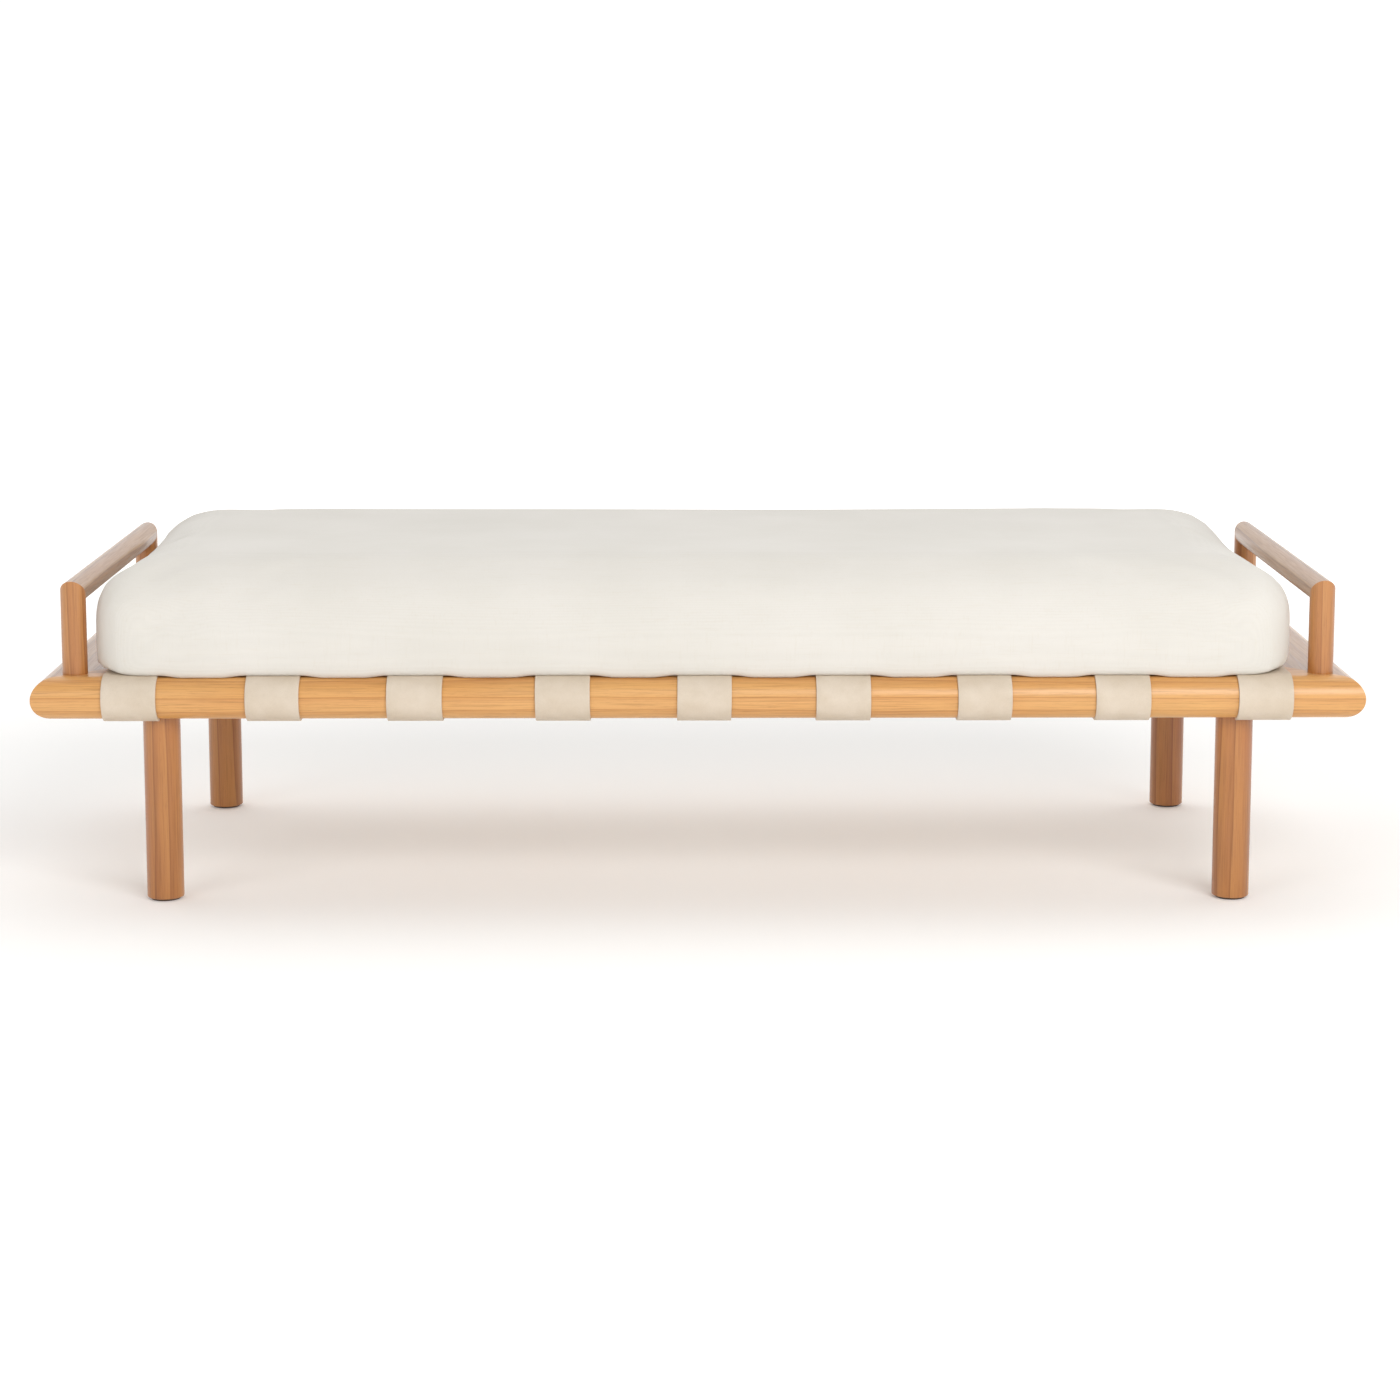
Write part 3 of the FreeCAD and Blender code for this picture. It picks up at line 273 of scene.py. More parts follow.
def hardwood(name, grain, pith, tones, patches, oil):
    """Oiled hardwood: grain is the axis the fibres follow, pith where the rings' middle is,
    and oil how much of the wax finish stands on the wood."""
    material, tree, shader = new_material(name)

    rings = add_node(tree, "ShaderNodeTexWave",
                     {"wave_type": "RINGS", "rings_direction": "XYZ"[grain],
                      "wave_profile": "SAW", "Scale": 0.314 / GROWTH_SPACING,
                      "Distortion": 4.5, "Detail": 3.0, "Detail Scale": 0.9},
                     Vector=stretched(tree, grain, 14, pith))
    growth = add_node(tree, "ShaderNodeValToRGB", Fac=rings.outputs["Fac"])
    set_stops(growth, [(0.0, tones[0]), (0.5, tones[1]), (0.86, tones[2]), (0.965, tones[3]),
                       (1.0, tones[0])])

    fibres = add_node(tree, "ShaderNodeTexNoise", {"Scale": 1 / FIBRE_WIDTH, "Detail": 4.0,
                                                   "Roughness": 0.62},
                      Vector=stretched(tree, grain, 38))
    fibre_tone = add_node(tree, "ShaderNodeValToRGB", Fac=fibres.outputs["Fac"])
    set_stops(fibre_tone, [(0.32, "#e6dfd6"), (0.5, "#faf8f5"), (0.68, "#ffffff")])

    pores = add_node(tree, "ShaderNodeTexNoise", {"Scale": 1 / PORE_WIDTH, "Detail": 2.0},
                     Vector=stretched(tree, grain, 16))
    pore_mask = add_node(tree, "ShaderNodeMapRange", {"From Min": 0.60, "From Max": 0.72},
                         Value=pores.outputs["Fac"])

    patch = add_node(tree, "ShaderNodeTexNoise", {"Scale": 1 / PATCH_SIZE, "Detail": 2.0,
                                                  "Roughness": 0.55},
                     Vector=stretched(tree, grain, 3.5, pith))
    patch_tone = add_node(tree, "ShaderNodeValToRGB", Fac=patch.outputs["Fac"])
    set_stops(patch_tone, patches)

    colour = mixed(tree, "MULTIPLY", 0.85, growth.outputs["Color"], fibre_tone.outputs["Color"])
    colour = mixed(tree, "SOFT_LIGHT", 0.75, colour, patch_tone.outputs["Color"])
    faint = add_node(tree, "ShaderNodeMath", {"operation": "MULTIPLY", 1: 0.2,
                                              0: pore_mask.outputs["Result"]})
    colour = mixed(tree, "MIX", faint.outputs["Value"], colour, linear("#7b4a22"))

    satin = add_node(tree, "ShaderNodeMapRange", {"From Min": 0.3, "From Max": 0.7,
                                                  "To Min": 0.44, "To Max": 0.32},
                     Value=fibres.outputs["Fac"])

    depth = add_node(tree, "ShaderNodeMath", {"operation": "SUBTRACT", 0: fibres.outputs["Fac"],
                                              1: pore_mask.outputs["Result"]})
    relief = add_node(tree, "ShaderNodeBump", {"Strength": 0.35, "Distance": 0.08 * MM},
                      Height=depth.outputs["Value"])
    dress(tree, shader, {"Base Color": colour, "Roughness": satin.outputs["Result"], "IOR": 1.5,
                         "Coat Weight": oil, "Coat Roughness": 0.24,
                         "Normal": relief.outputs["Normal"]})
    return material


HONEY = ("#e7bb7d", "#e4b778", "#e0b172", "#d5a366")
HONEY_PATCH = [(0.3, "#6e6a64"), (0.5, "#808080"), (0.7, "#949088")]
TAWNY = ("#c99e68", "#c4975f", "#bc8c55", "#ae804c")
DUN = ("#bd9460", "#b88d58", "#b0824e", "#9c7040")
AMBER = ("#cf9b60", "#cb955a", "#c58d52", "#b67f47")
RUSSET = ("#ca9356", "#c68d51", "#be844a", "#ad743e")
RUSSET_PATCH = [(0.28, "#5e4c44"), (0.5, "#808080"), (0.72, "#a89c84")]

lengthwise = hardwood("oiled_hardwood_lengthwise", 0, (0.0, 0.31, 0.09), HONEY, HONEY_PATCH,
                      0.3)
crosswise = hardwood("oiled_hardwood_crosswise", 1, (0.17, 0.0, 0.12), TAWNY, HONEY_PATCH,
                     0.6)
handle_wood = hardwood("oiled_hardwood_handle", 1, (0.05, 0.0, 0.21), DUN, HONEY_PATCH, 0.6)
post_wood = hardwood("oiled_hardwood_post", 2, (0.09, 0.13, 0.0), AMBER, HONEY_PATCH, 0.4)
leg_wood = hardwood("oiled_hardwood_leg", 2, (0.06, 0.11, 0.0), RUSSET, RUSSET_PATCH, 0.4)
print("five cuts of hardwood, growth lines", round(GROWTH_SPACING / MM), "mm apart")

# %% [markdown]
# ## Leather
# The straps are cut from cream vegetable-tanned cattle hide, four millimetres thick and left
# undyed. The grain side is smooth, with the shallow cells of real hide and a slow mottle, and
# the creases between the cells are painted a little darker: painted shade. The cut edge is
# fibrous, and its darker tone is partly the hide's own core and partly painted shade on the
# strap's sides. The flesh side is a dull suede. A strap has all three, so there are three
# materials, and the piece says which of its faces takes which.

# %% Leather
HIDE_CELL = 1.6 * MM            # real cells are about half this: drawn larger to show
HIDE_MOTTLE = 45 * MM


def hide(name, light, dark, rough, cell_depth, nap):
    """One side of the hide: its two tones, how dull it is, its cells' depth and its nap."""
    material, tree, shader = new_material(name)
    place = add_node(tree, "ShaderNodeTexCoord").outputs["Object"]
    mottle = add_node(tree, "ShaderNodeTexNoise", {"Scale": 1 / HIDE_MOTTLE, "Detail": 5.0,
                                                   "Roughness": 0.6}, Vector=place)
    tone = add_node(tree, "ShaderNodeValToRGB", Fac=mottle.outputs["Fac"])
    set_stops(tone, [(0.32, dark), (0.68, light)])
    cells = add_node(tree, "ShaderNodeTexVoronoi", {"feature": "DISTANCE_TO_EDGE",
                                                    "Scale": 1 / HIDE_CELL}, Vector=place)
    crease = add_node(tree, "ShaderNodeMapRange", {"From Min": 0.0, "From Max": 0.16,
                                                   "To Min": 0.0, "To Max": 1.0},
                      Value=cells.outputs["Distance"])
    speck = add_node(tree, "ShaderNodeTexNoise", {"Scale": 1 / (0.7 * MM), "Detail": 3.0},
                     Vector=place)
    # Towards the cells' edges, in the creases, the hide is painted up to 7% darker: painted shade.
    shade = add_node(tree, "ShaderNodeMapRange", {"From Min": 0.0, "From Max": 1.0,
                                                  "To Min": 0.93, "To Max": 1.0},
                     Value=crease.outputs["Result"])
    colour = mixed(tree, "MULTIPLY", 1.0, tone.outputs["Color"], shade.outputs["Result"])
    dull = add_node(tree, "ShaderNodeMapRange", {"From Min": 0.3, "From Max": 0.7,
                                                 "To Min": rough - 0.06, "To Max": rough + 0.08},
                    Value=mottle.outputs["Fac"])
    height = add_node(tree, "ShaderNodeMath", {"operation": "MULTIPLY_ADD", 1: cell_depth,
                                               0: crease.outputs["Result"],
                                               2: speck.outputs["Fac"]})
    relief = add_node(tree, "ShaderNodeBump", {"Strength": nap, "Distance": 0.12 * MM},
                      Height=height.outputs["Value"])
    dress(tree, shader, {"Base Color": colour, "Roughness": dull.outputs["Result"],
                         "Normal": relief.outputs["Normal"], "Specular IOR Level": 0.4})
    return material


grain_side = hide("vegetable_tanned_leather_grain_side", "#d9cbb9", "#cfbfaa", 0.55, 1.2, 0.5)
# The cut edge's darker tones are partly the hide's core and partly painted shade on the strap's
# sides.
cut_edge_and_painted_shade = hide("vegetable_tanned_leather_cut_edge", "#cdb490", "#b4946a", 0.8, 0.3, 0.8)
flesh_side = hide("vegetable_tanned_leather_flesh_side", "#d2bf9f", "#c2ab86", 0.92, 0.2, 0.9)
print("three sides of hide, cells", round(HIDE_CELL / MM, 1), "mm across")

# %% [markdown]
# ## Canvas
# The mattress cover is a heavy washed cotton canvas, in a plain weave of natural thread.
# Here and there a thicker length of yarn, a slub, crosses the cloth. The hollows between
# the threads are painted a little darker, which is painted shade in the weave. Real threads
# lie about 0.7 mm apart, which is finer than a render of the whole bed can hold, so they are
# drawn at twice that. Three sets of bands, one along each axis, give every face of the
# mattress its two directions of thread.

# %% Canvas
THREAD_SPACING = 1.5 * MM


def woven(name, light, dark, spacing, rough, depth, fuzz):
    """A plain weave of natural thread in three directions, with slubs and a slow mottle."""
    material, tree, shader = new_material(name)
    place = add_node(tree, "ShaderNodeTexCoord").outputs["Object"]
    threads = []
    for axis in "XYZ":
        band = add_node(tree, "ShaderNodeTexWave", {"wave_type": "BANDS", "bands_direction": axis,
                                                    "Scale": 0.314 / spacing,
                                                    "Distortion": 0.6, "Detail": 1.0,
                                                    "Detail Scale": 0.5}, Vector=place)
        threads.append(band.outputs["Fac"])
    weft = add_node(tree, "ShaderNodeMath", {"operation": "ADD", 0: threads[0], 1: threads[1]})
    weave = add_node(tree, "ShaderNodeMath", {"operation": "ADD", 0: weft.outputs["Value"],
                                              1: threads[2]})
    slubs = []
    for axis in (0, 2):
        slub = add_node(tree, "ShaderNodeTexNoise", {"Scale": 1 / (2.4 * MM), "Detail": 2.0},
                        Vector=stretched(tree, axis, 16))
        slubs.append(add_node(tree, "ShaderNodeMapRange", {"From Min": 0.56, "From Max": 0.74},
                              Value=slub.outputs["Fac"]).outputs["Result"])
    slub = add_node(tree, "ShaderNodeMath", {"operation": "ADD", 0: slubs[0], 1: slubs[1]})
    mottle = add_node(tree, "ShaderNodeTexNoise", {"Scale": 1 / (160 * MM), "Detail": 4.0},
                      Vector=place)
    tone = add_node(tree, "ShaderNodeValToRGB", Fac=mottle.outputs["Fac"])
    set_stops(tone, [(0.3, dark), (0.7, light)])
    # Where the bands are low, in the hollows between threads, the cloth is painted up to 3.5%
    # darker: painted shade.
    shade = add_node(tree, "ShaderNodeMapRange", {"From Min": 0.6, "From Max": 2.4,
                                                  "To Min": 0.965, "To Max": 1.0},
                     Value=weave.outputs["Value"])
    colour = mixed(tree, "MULTIPLY", 1.0, tone.outputs["Color"], shade.outputs["Result"])
    faint = add_node(tree, "ShaderNodeMath", {"operation": "MULTIPLY", 1: 0.10,
                                              0: slub.outputs["Value"]})
    colour = mixed(tree, "MIX", faint.outputs["Value"], colour, linear("#c9bda6"))
    height = add_node(tree, "ShaderNodeMath", {"operation": "MULTIPLY_ADD", 1: 0.5,
                                               0: slub.outputs["Value"],
                                               2: weave.outputs["Value"]})
    relief = add_node(tree, "ShaderNodeBump", {"Strength": depth, "Distance": 0.15 * MM},
                      Height=height.outputs["Value"])
    dress(tree, shader, {"Base Color": colour, "Normal": relief.outputs["Normal"],
                         "Roughness": rough, "Sheen Weight": fuzz, "Sheen Roughness": 0.5,
                         "Specular IOR Level": 0.25})
    return material


canvas = woven("washed_cotton_canvas", "#dedad3", "#d9d5cd", THREAD_SPACING, 0.9, 0.35, 0.12)
tape_cloth = woven("woven_zip_tape", "#ded6c6", "#d3c9b6", 1.1 * MM, 0.85, 0.6, 0.1)
print("canvas threads", round(THREAD_SPACING / MM, 1), "mm apart")

# %% [markdown]
# ## Metals, felt and thread
# The zip is nickel-plated brass, bright but softened by handling. Screws, bolts and washers
# are zinc-plated steel, whose thin bluish plating is patchy. The threaded inserts are turned
# brass. A metal's colour is its reflection, so a slow change of roughness and tone is most of
# its finish. The pads under the legs are pressed wool felt, and the seams a twisted thread.

# %% Metals
def plated(name, light, dark, rough, streak):
    """Bare or plated metal: two tones of reflection, and a roughness that varies."""
    material, tree, shader = new_material(name)
    place = add_node(tree, "ShaderNodeTexCoord").outputs["Object"]
    cloud = add_node(tree, "ShaderNodeTexNoise", {"Scale": 1 / (6 * MM), "Detail": 4.0},
                     Vector=place)
    tone = add_node(tree, "ShaderNodeValToRGB", Fac=cloud.outputs["Fac"])
    set_stops(tone, [(0.3, dark), (0.7, light)])
    dull = add_node(tree, "ShaderNodeMapRange", {"From Min": 0.3, "From Max": 0.7,
                                                 "To Min": rough + 0.08, "To Max": rough - 0.05},
                    Value=cloud.outputs["Fac"])
    fine = add_node(tree, "ShaderNodeTexNoise", {"Scale": 1 / (0.35 * MM), "Detail": 2.0},
                    Vector=place)
    relief = add_node(tree, "ShaderNodeBump", {"Strength": streak, "Distance": 0.02 * MM},
                      Height=fine.outputs["Fac"])
    dress(tree, shader, {"Base Color": tone.outputs["Color"],
                         "Roughness": dull.outputs["Result"], "Normal": relief.outputs["Normal"],
                         "Metallic": 1.0})
    return material


nickel = plated("nickel_plated_brass", "#d6d2ca", "#b9b4aa", 0.24, 0.2)
zinc = plated("zinc_plated_steel", "#ced2d6", "#aeb3b8", 0.34, 0.4)
turned_brass = plated("turned_brass", "#d9b878", "#bf9a58", 0.3, 0.3)
print("nickel, zinc and brass")


# %% Felt, beech and sewing thread
def fibrous(name, light, dark, size, stretch, rough, depth):
    """A fibrous solid: felt, dowel wood or thread, from noise drawn out up its height."""
    material, tree, shader = new_material(name)
    strands = add_node(tree, "ShaderNodeTexNoise", {"Scale": 1 / size, "Detail": 5.0,
                                                    "Roughness": 0.7, "Distortion": 0.4},
                       Vector=stretched(tree, 2, stretch))
    tone = add_node(tree, "ShaderNodeValToRGB", Fac=strands.outputs["Fac"])
    set_stops(tone, [(0.3, dark), (0.72, light)])
    relief = add_node(tree, "ShaderNodeBump", {"Strength": depth, "Distance": 0.3 * MM},
                      Height=strands.outputs["Fac"])
    dress(tree, shader, {"Base Color": tone.outputs["Color"], "Normal": relief.outputs["Normal"],
                         "Roughness": rough})
    return material


felt = fibrous("pressed_wool_felt", "#6d5c4c", "#463a30", 1.4 * MM, 1, 0.95, 0.9)
beech = fibrous("beech_dowel", "#d8b58c", "#c39b70", 1.2 * MM, 12, 0.6, 0.2)
foam = fibrous("cold_cure_foam", "#ebe3cd", "#ddd2b6", 2.0 * MM, 1, 0.95, 0.6)
thread = fibrous("waxed_cotton_thread", "#efe9dc", "#d8cdb8", 0.5 * MM, 1, 0.7, 0.5)
print("felt, beech, foam and thread")

# %% [markdown]
# Each finish now goes onto the design pieces that are already the right shape. The record
# says which material slot a piece has, and for the wood its name says which way the grain
# runs: along a rail, across the bed, or up a post.

# %% Finishes on the ready-made pieces
FINISHES = {"leather": grain_side, "canvas": canvas, "foam": foam, "felt": felt,
            "zip_tape": tape_cloth, "nickel": nickel, "zinc_plated_steel": zinc,
            "brass": turned_brass, "beech_dowel": beech}
WOOD_BY_NAME = (("front_rail", lengthwise), ("back_rail", lengthwise), ("handle_rail", handle_wood),
                ("upright", post_wood), ("leg_", leg_wood), ("", crosswise))

for row in frame["record"]["subparts"]:
    node = row["node"]
    finish = FINISHES.get(row["material_slot"])
    if finish is None:
        finish = next(wood for start, wood in WOOD_BY_NAME if node.startswith(start))
    piece = frame["nodes"][node]
    piece.data.materials.clear()
    piece.data.materials.append(finish)
print(len(frame["nodes"]), "pieces finished")

# %% [markdown]
# ## Modelling by hand
# The pieces below are modelled as they would be with a mouse: add a primitive, go into edit
# mode, pick some of it and push. Small helpers add, pick and tidy. Operators act on everything
# that is selected, so what adds a piece lets go of the rest first.

# %% Modelling helpers
def only(piece):
    """Select one piece and nothing else."""
    if bpy.context.mode != "OBJECT":
        bpy.ops.object.mode_set(mode="OBJECT")
    bpy.ops.object.select_all(action="DESELECT")
    piece.select_set(True)
    bpy.context.view_layer.objects.active = piece


def edit(name=None):
    """Name the piece just added, put its place into its mesh, and open it for editing."""
    piece = bpy.context.object
    if name:
        piece.name = piece.data.name = name
    only(piece)
    bpy.ops.object.transform_apply(location=True, rotation=True, scale=True)
    bpy.ops.object.mode_set(mode="EDIT")
    return piece


def block(name, location, scale):
    """A cube added at its place and size, named and open for editing."""
    bpy.ops.object.select_all(action="DESELECT")
    bpy.ops.mesh.primitive_cube_add(size=1, location=location, scale=scale)
    return edit(name)


def rod(name, vertices, radius, depth, location):
    """An upright cylinder added at its place and size, named and open for editing."""
    bpy.ops.object.select_all(action="DESELECT")
    bpy.ops.mesh.primitive_cylinder_add(vertices=vertices, radius=radius, depth=depth,
                                        location=location)
    return edit(name)


def pick(piece, kind, test):
    """Select the vertices, edges or faces in edit mode whose middle passes a test."""
    bpy.ops.mesh.select_mode(type=kind)
    bpy.ops.mesh.select_all(action="DESELECT")
    shape = bmesh.from_edit_mesh(piece.data)
    chosen = 0
    for part in {"VERT": shape.verts, "EDGE": shape.edges, "FACE": shape.faces}[kind]:
        points = [part.co] if kind == "VERT" else [corner.co for corner in part.verts]
        if test(sum(points, Vector()) / len(points), part):
            part.select_set(True)
            chosen += 1
    shape.select_flush_mode()
    bmesh.update_edit_mesh(piece.data)
    return chosen


def modify(piece, kind, **settings):
    """Add a modifier with its settings and apply it."""
    only(piece)
    change = piece.modifiers.new(kind.lower(), kind)
    for name, value in settings.items():
        setattr(change, name, value)
    bpy.ops.object.modifier_apply(modifier=change.name)


def finish_piece(piece, body, slot, stands_for, *finishes):
    """Give a piece its finishes and its body, and hide the nodes it stands for; slot is not used.
    """
    only(piece)
    piece.data.materials.clear()
    for finish in finishes:
        piece.data.materials.append(finish)
    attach(piece, body)
    if stands_for:
        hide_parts(*stands_for)


def near(value, target, slack=0.2 * MM):
    return abs(value - target) < slack


bpy.ops.object.select_all(action="DESELECT")
print("helpers ready")

# %% [markdown]
# ## Mattress
# One slab of foam in a fitted canvas cover, 1.8 metres long. Foam holds the cover out evenly,
# so the faces are nearly flat and the edges are full and round, and there is no piping. It
# starts as a cube with its corners, top edge and bottom edge bevelled round, a little smaller
# than the real thing. A voxel remesh gives it even cloth-sized faces. The Cloth simulation
# then blows it up from inside, as foam does a tight cover, and each point may move only so
# far. The underside is held where it lies on the straps.

# %% Mattress blank
SWELL = 9 * MM
CORNER = 70 * MM
TOP_EDGE = 71 * MM
BASE_EDGE = 15 * MM
VOXEL = 13 * MM

soft_low, soft_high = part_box("mattress_cover")
middle = (soft_low + soft_high) / 2
size = soft_high - soft_low
BASE = soft_low.z
blank_top = soft_high.z - SWELL

mattress = block("mattress", (middle.x, 0, (BASE + blank_top) / 2),
                 (size.x - 2 * SWELL, size.y - 2 * SWELL, blank_top - BASE))
pick(mattress, "EDGE", lambda spot, edge: near(spot.z, (BASE + blank_top) / 2))
bpy.ops.mesh.bevel(offset=CORNER, segments=10, affect="EDGES")
pick(mattress, "EDGE", lambda spot, edge: all(near(v.co.z, blank_top) for v in edge.verts))
bpy.ops.mesh.bevel(offset=TOP_EDGE, segments=10, affect="EDGES")
pick(mattress, "EDGE", lambda spot, edge: all(near(v.co.z, BASE) for v in edge.verts))
bpy.ops.mesh.bevel(offset=BASE_EDGE, segments=6, affect="EDGES")
only(mattress)
modify(mattress, "REMESH", mode="VOXEL", voxel_size=VOXEL)
print("mattress blank:", len(mattress.data.vertices), "points,",
      [round(v / MM) for v in mattress.dimensions], "mm")

# %% [markdown]
# The cloth is held at the underside by a vertex group, fully at the flat and less and less up
# the bottom edge. Pressure pushes everything else out along its normals for twenty frames.
# Gravity is off, because foam carries the cover's weight.

# %% Mattress blown up
PRESSURE = 0.7
FRAMES = 20
MOST_SWELL = 12 * MM

held = mattress.vertex_groups.new(name="held")
for point in mattress.data.vertices:
    grip = 1 - (point.co.z - BASE) / (40 * MM)
    if grip > 0:
        held.add([point.index], min(1.0, grip), "REPLACE")
start = [point.co.copy() for point in mattress.data.vertices]
only(mattress)
cloth = mattress.modifiers.new("cloth", "CLOTH")
cloth.settings.quality = 5
cloth.settings.mass = 0.3
cloth.settings.tension_stiffness = 20
cloth.settings.compression_stiffness = 20
cloth.settings.shear_stiffness = 8
cloth.settings.bending_stiffness = 2
cloth.settings.use_pressure = True
cloth.settings.uniform_pressure_force = PRESSURE
cloth.settings.effector_weights.gravity = 0
cloth.settings.vertex_group_mass = "held"
cloth.point_cache.frame_end = FRAMES
for moment in range(1, FRAMES + 1):
    scene.frame_set(moment)
bpy.ops.object.modifier_apply(modifier="cloth")
scene.frame_set(1)
furthest = 0
for point, origin in zip(mattress.data.vertices, start):
    step = point.co - origin
    reach = step.length
    furthest = max(furthest, reach)
    if reach > 0:
        point.co = origin + step * (MOST_SWELL * math.tanh(reach / MOST_SWELL) / reach)
mattress.vertex_groups.clear()
print("furthest swell before the cap", round(furthest / MM, 1), "mm")
modify(mattress, "SUBSURF", levels=1, render_levels=1)

# %% [markdown]
# The cover's size is known, so the swollen shape is first stretched to it. The mattress then
# lies on nine straps with wood or air between them: its underside hangs a few millimetres
# lower between straps, and its long edges droop over the start of the bullnose. Its back is
# drawn flat along the zip, where the tape holds the canvas straight. Last comes what no
# machine gives: a slow unevenness of a millimetre.

# %% Mattress settled on its straps
SAG = 3.6 * MM
DROOP = 5.5 * MM
SAG_HEIGHT = 46 * MM
UNEVEN = 1.3 * MM
BULGE = 4 * MM
CROWN = 4.5 * MM
HIDE_AND_AIR = 4.2 * MM

strap_spans = [(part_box(name)[0].x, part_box(name)[1].x) for name in STRAPS]
tape_low, tape_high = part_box("zip_tape")


def smooth(value):
    """A soft step from 0 to 1."""
    value = min(max(value, 0.0), 1.0)
    return value * value * (3 - 2 * value)


def hang(x):
    """How far the underside hangs at x: nothing over a strap, all of the sag between two."""
    clear = min(max(low - x, x - high) for low, high in strap_spans)
    return SAG * smooth((clear - 3 * MM) / (34 * MM))


def ground(x, y):
    """The height of the strap or rail under a point near a long edge."""
    past = max(abs(y) - BULLNOSE, 0.0)
    over_strap = any(low - 2 * MM < x < high + 2 * MM for low, high in strap_spans)
    radius = RAIL_RADIUS + (HIDE_AND_AIR if over_strap else 0.3 * MM)
    return RAIL_MIDDLE + math.sqrt(max(radius ** 2 - past ** 2, 0.0))


spots = [point.co for point in mattress.data.vertices]
low_corner = Vector([min(spot[axis] for spot in spots) for axis in range(3)])
high_corner = Vector([max(spot[axis] for spot in spots) for axis in range(3)])
goal_low = Vector((soft_low.x, soft_low.y - BULGE, BASE))
goal_high = Vector((soft_high.x, soft_high.y + BULGE, soft_high.z + CROWN))

for point in mattress.data.vertices:
    for axis in range(3):
        share = (point.co[axis] - low_corner[axis]) / (high_corner[axis] - low_corner[axis])
        point.co[axis] = goal_low[axis] + share * (goal_high[axis] - goal_low[axis])
    spot = point.co
    low_down = smooth(1 - (spot.z - BASE) / SAG_HEIGHT)
    wander = noise.noise(spot * 3.1) * UNEVEN
    outward = Vector((spot.x - middle.x, spot.y * 2.4, 0)).normalized()
    spot += outward * wander
    spot.z += noise.noise(spot * 2.3 + Vector((9, 4, 2))) * UNEVEN * (1 - low_down)
    spot.z = max(spot.z, BASE + 0.1 * MM)
    spot.z -= hang(spot.x) * low_down
    spot.z -= DROOP * low_down * smooth((abs(spot.y) - 338 * MM) / (24 * MM))
    spot.z = max(spot.z, ground(spot.x, spot.y))
    beside = max(tape_low.x - spot.x, spot.x - tape_high.x, 0.0) / (60 * MM)
    above = max(tape_low.z - spot.z, spot.z - tape_high.z, 0.0) / (34 * MM)
    drawn = (1 - smooth(beside)) * (1 - smooth(above))
    if spot.y > 0:
        spot.y = min(spot.y, soft_high.y - 0.2 * MM + 8 * MM * (1 - drawn))
    spot.x = min(max(spot.x, soft_low.x - 0.5 * MM), soft_high.x + 1 * MM)
only(mattress)
bpy.ops.object.shade_smooth()
finish_piece(mattress, "mattress", "canvas", ("mattress_cover", "mattress_core"), canvas)
print("mattress:", [round(v / MM) for v in mattress.dimensions], "mm,",
      len(mattress.data.polygons), "faces")

# %% [markdown]
# ## Straps
# Each strap is one strip of hide. It crosses the bed over both long rails, follows each
# bullnose round, and comes back underneath to its screws. A sheet is the right start: a grid
# lies across the top, its ends are spun half a turn about the middle of each bullnose, and
# the edge that comes out is extruded inwards. Solidify then gives the hide its thickness,
# with the cut edge and the flesh side as their own materials, and a bevel eases the edges.
# By hand no strap lies quite square, so each one leans and widens by a millimetre or two.

# %% Straps
HIDE_THICKNESS = 3.7 * MM
AIR = 0.15 * MM
SPIN_STEPS = 22
STRAP_SAG = 3.0 * MM
LEANS = (0.9, -1.2, 0.5, 1.4, -0.7, 0.3, -1.0, 0.8, -0.4)
EXTRAS = (-0.4, -1.6, 1.2, 0.2, -0.6, -0.2, -1.0, 0.0, -0.5)

sheet_radius = RAIL_RADIUS + AIR + HIDE_THICKNESS / 2


def wrap_end(piece, side, run):
    """Spin the sheet's end on one side round its bullnose, then run it back underneath."""
    pick(piece, "EDGE", lambda spot, edge: near(spot.y, side * BULLNOSE)
         and all(near(v.co.y, side * BULLNOSE) for v in edge.verts))
    bpy.ops.mesh.spin(steps=SPIN_STEPS, angle=math.pi,
                      center=(0, side * BULLNOSE, RAIL_MIDDLE), axis=(side, 0, 0))
    for _ in range(3):
        bpy.ops.mesh.extrude_region_move(
            TRANSFORM_OT_translate={"value": (0, -side * run / 3, 0)})


def notch(piece, post, gap):
    """Cut a round notch beside a leg out of the part that lies under the rail."""
    low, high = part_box(post)
    cutter = rod("cutter", 48, (high.x - low.x) / 2 + gap, 12 * MM,
                 ((low.x + high.x) / 2, (low.y + high.y) / 2, rail_low.z - 2 * MM))
    only(piece)
    modify(piece, "BOOLEAN", operation="DIFFERENCE", object=cutter, solver="EXACT")
    bpy.data.objects.remove(cutter)


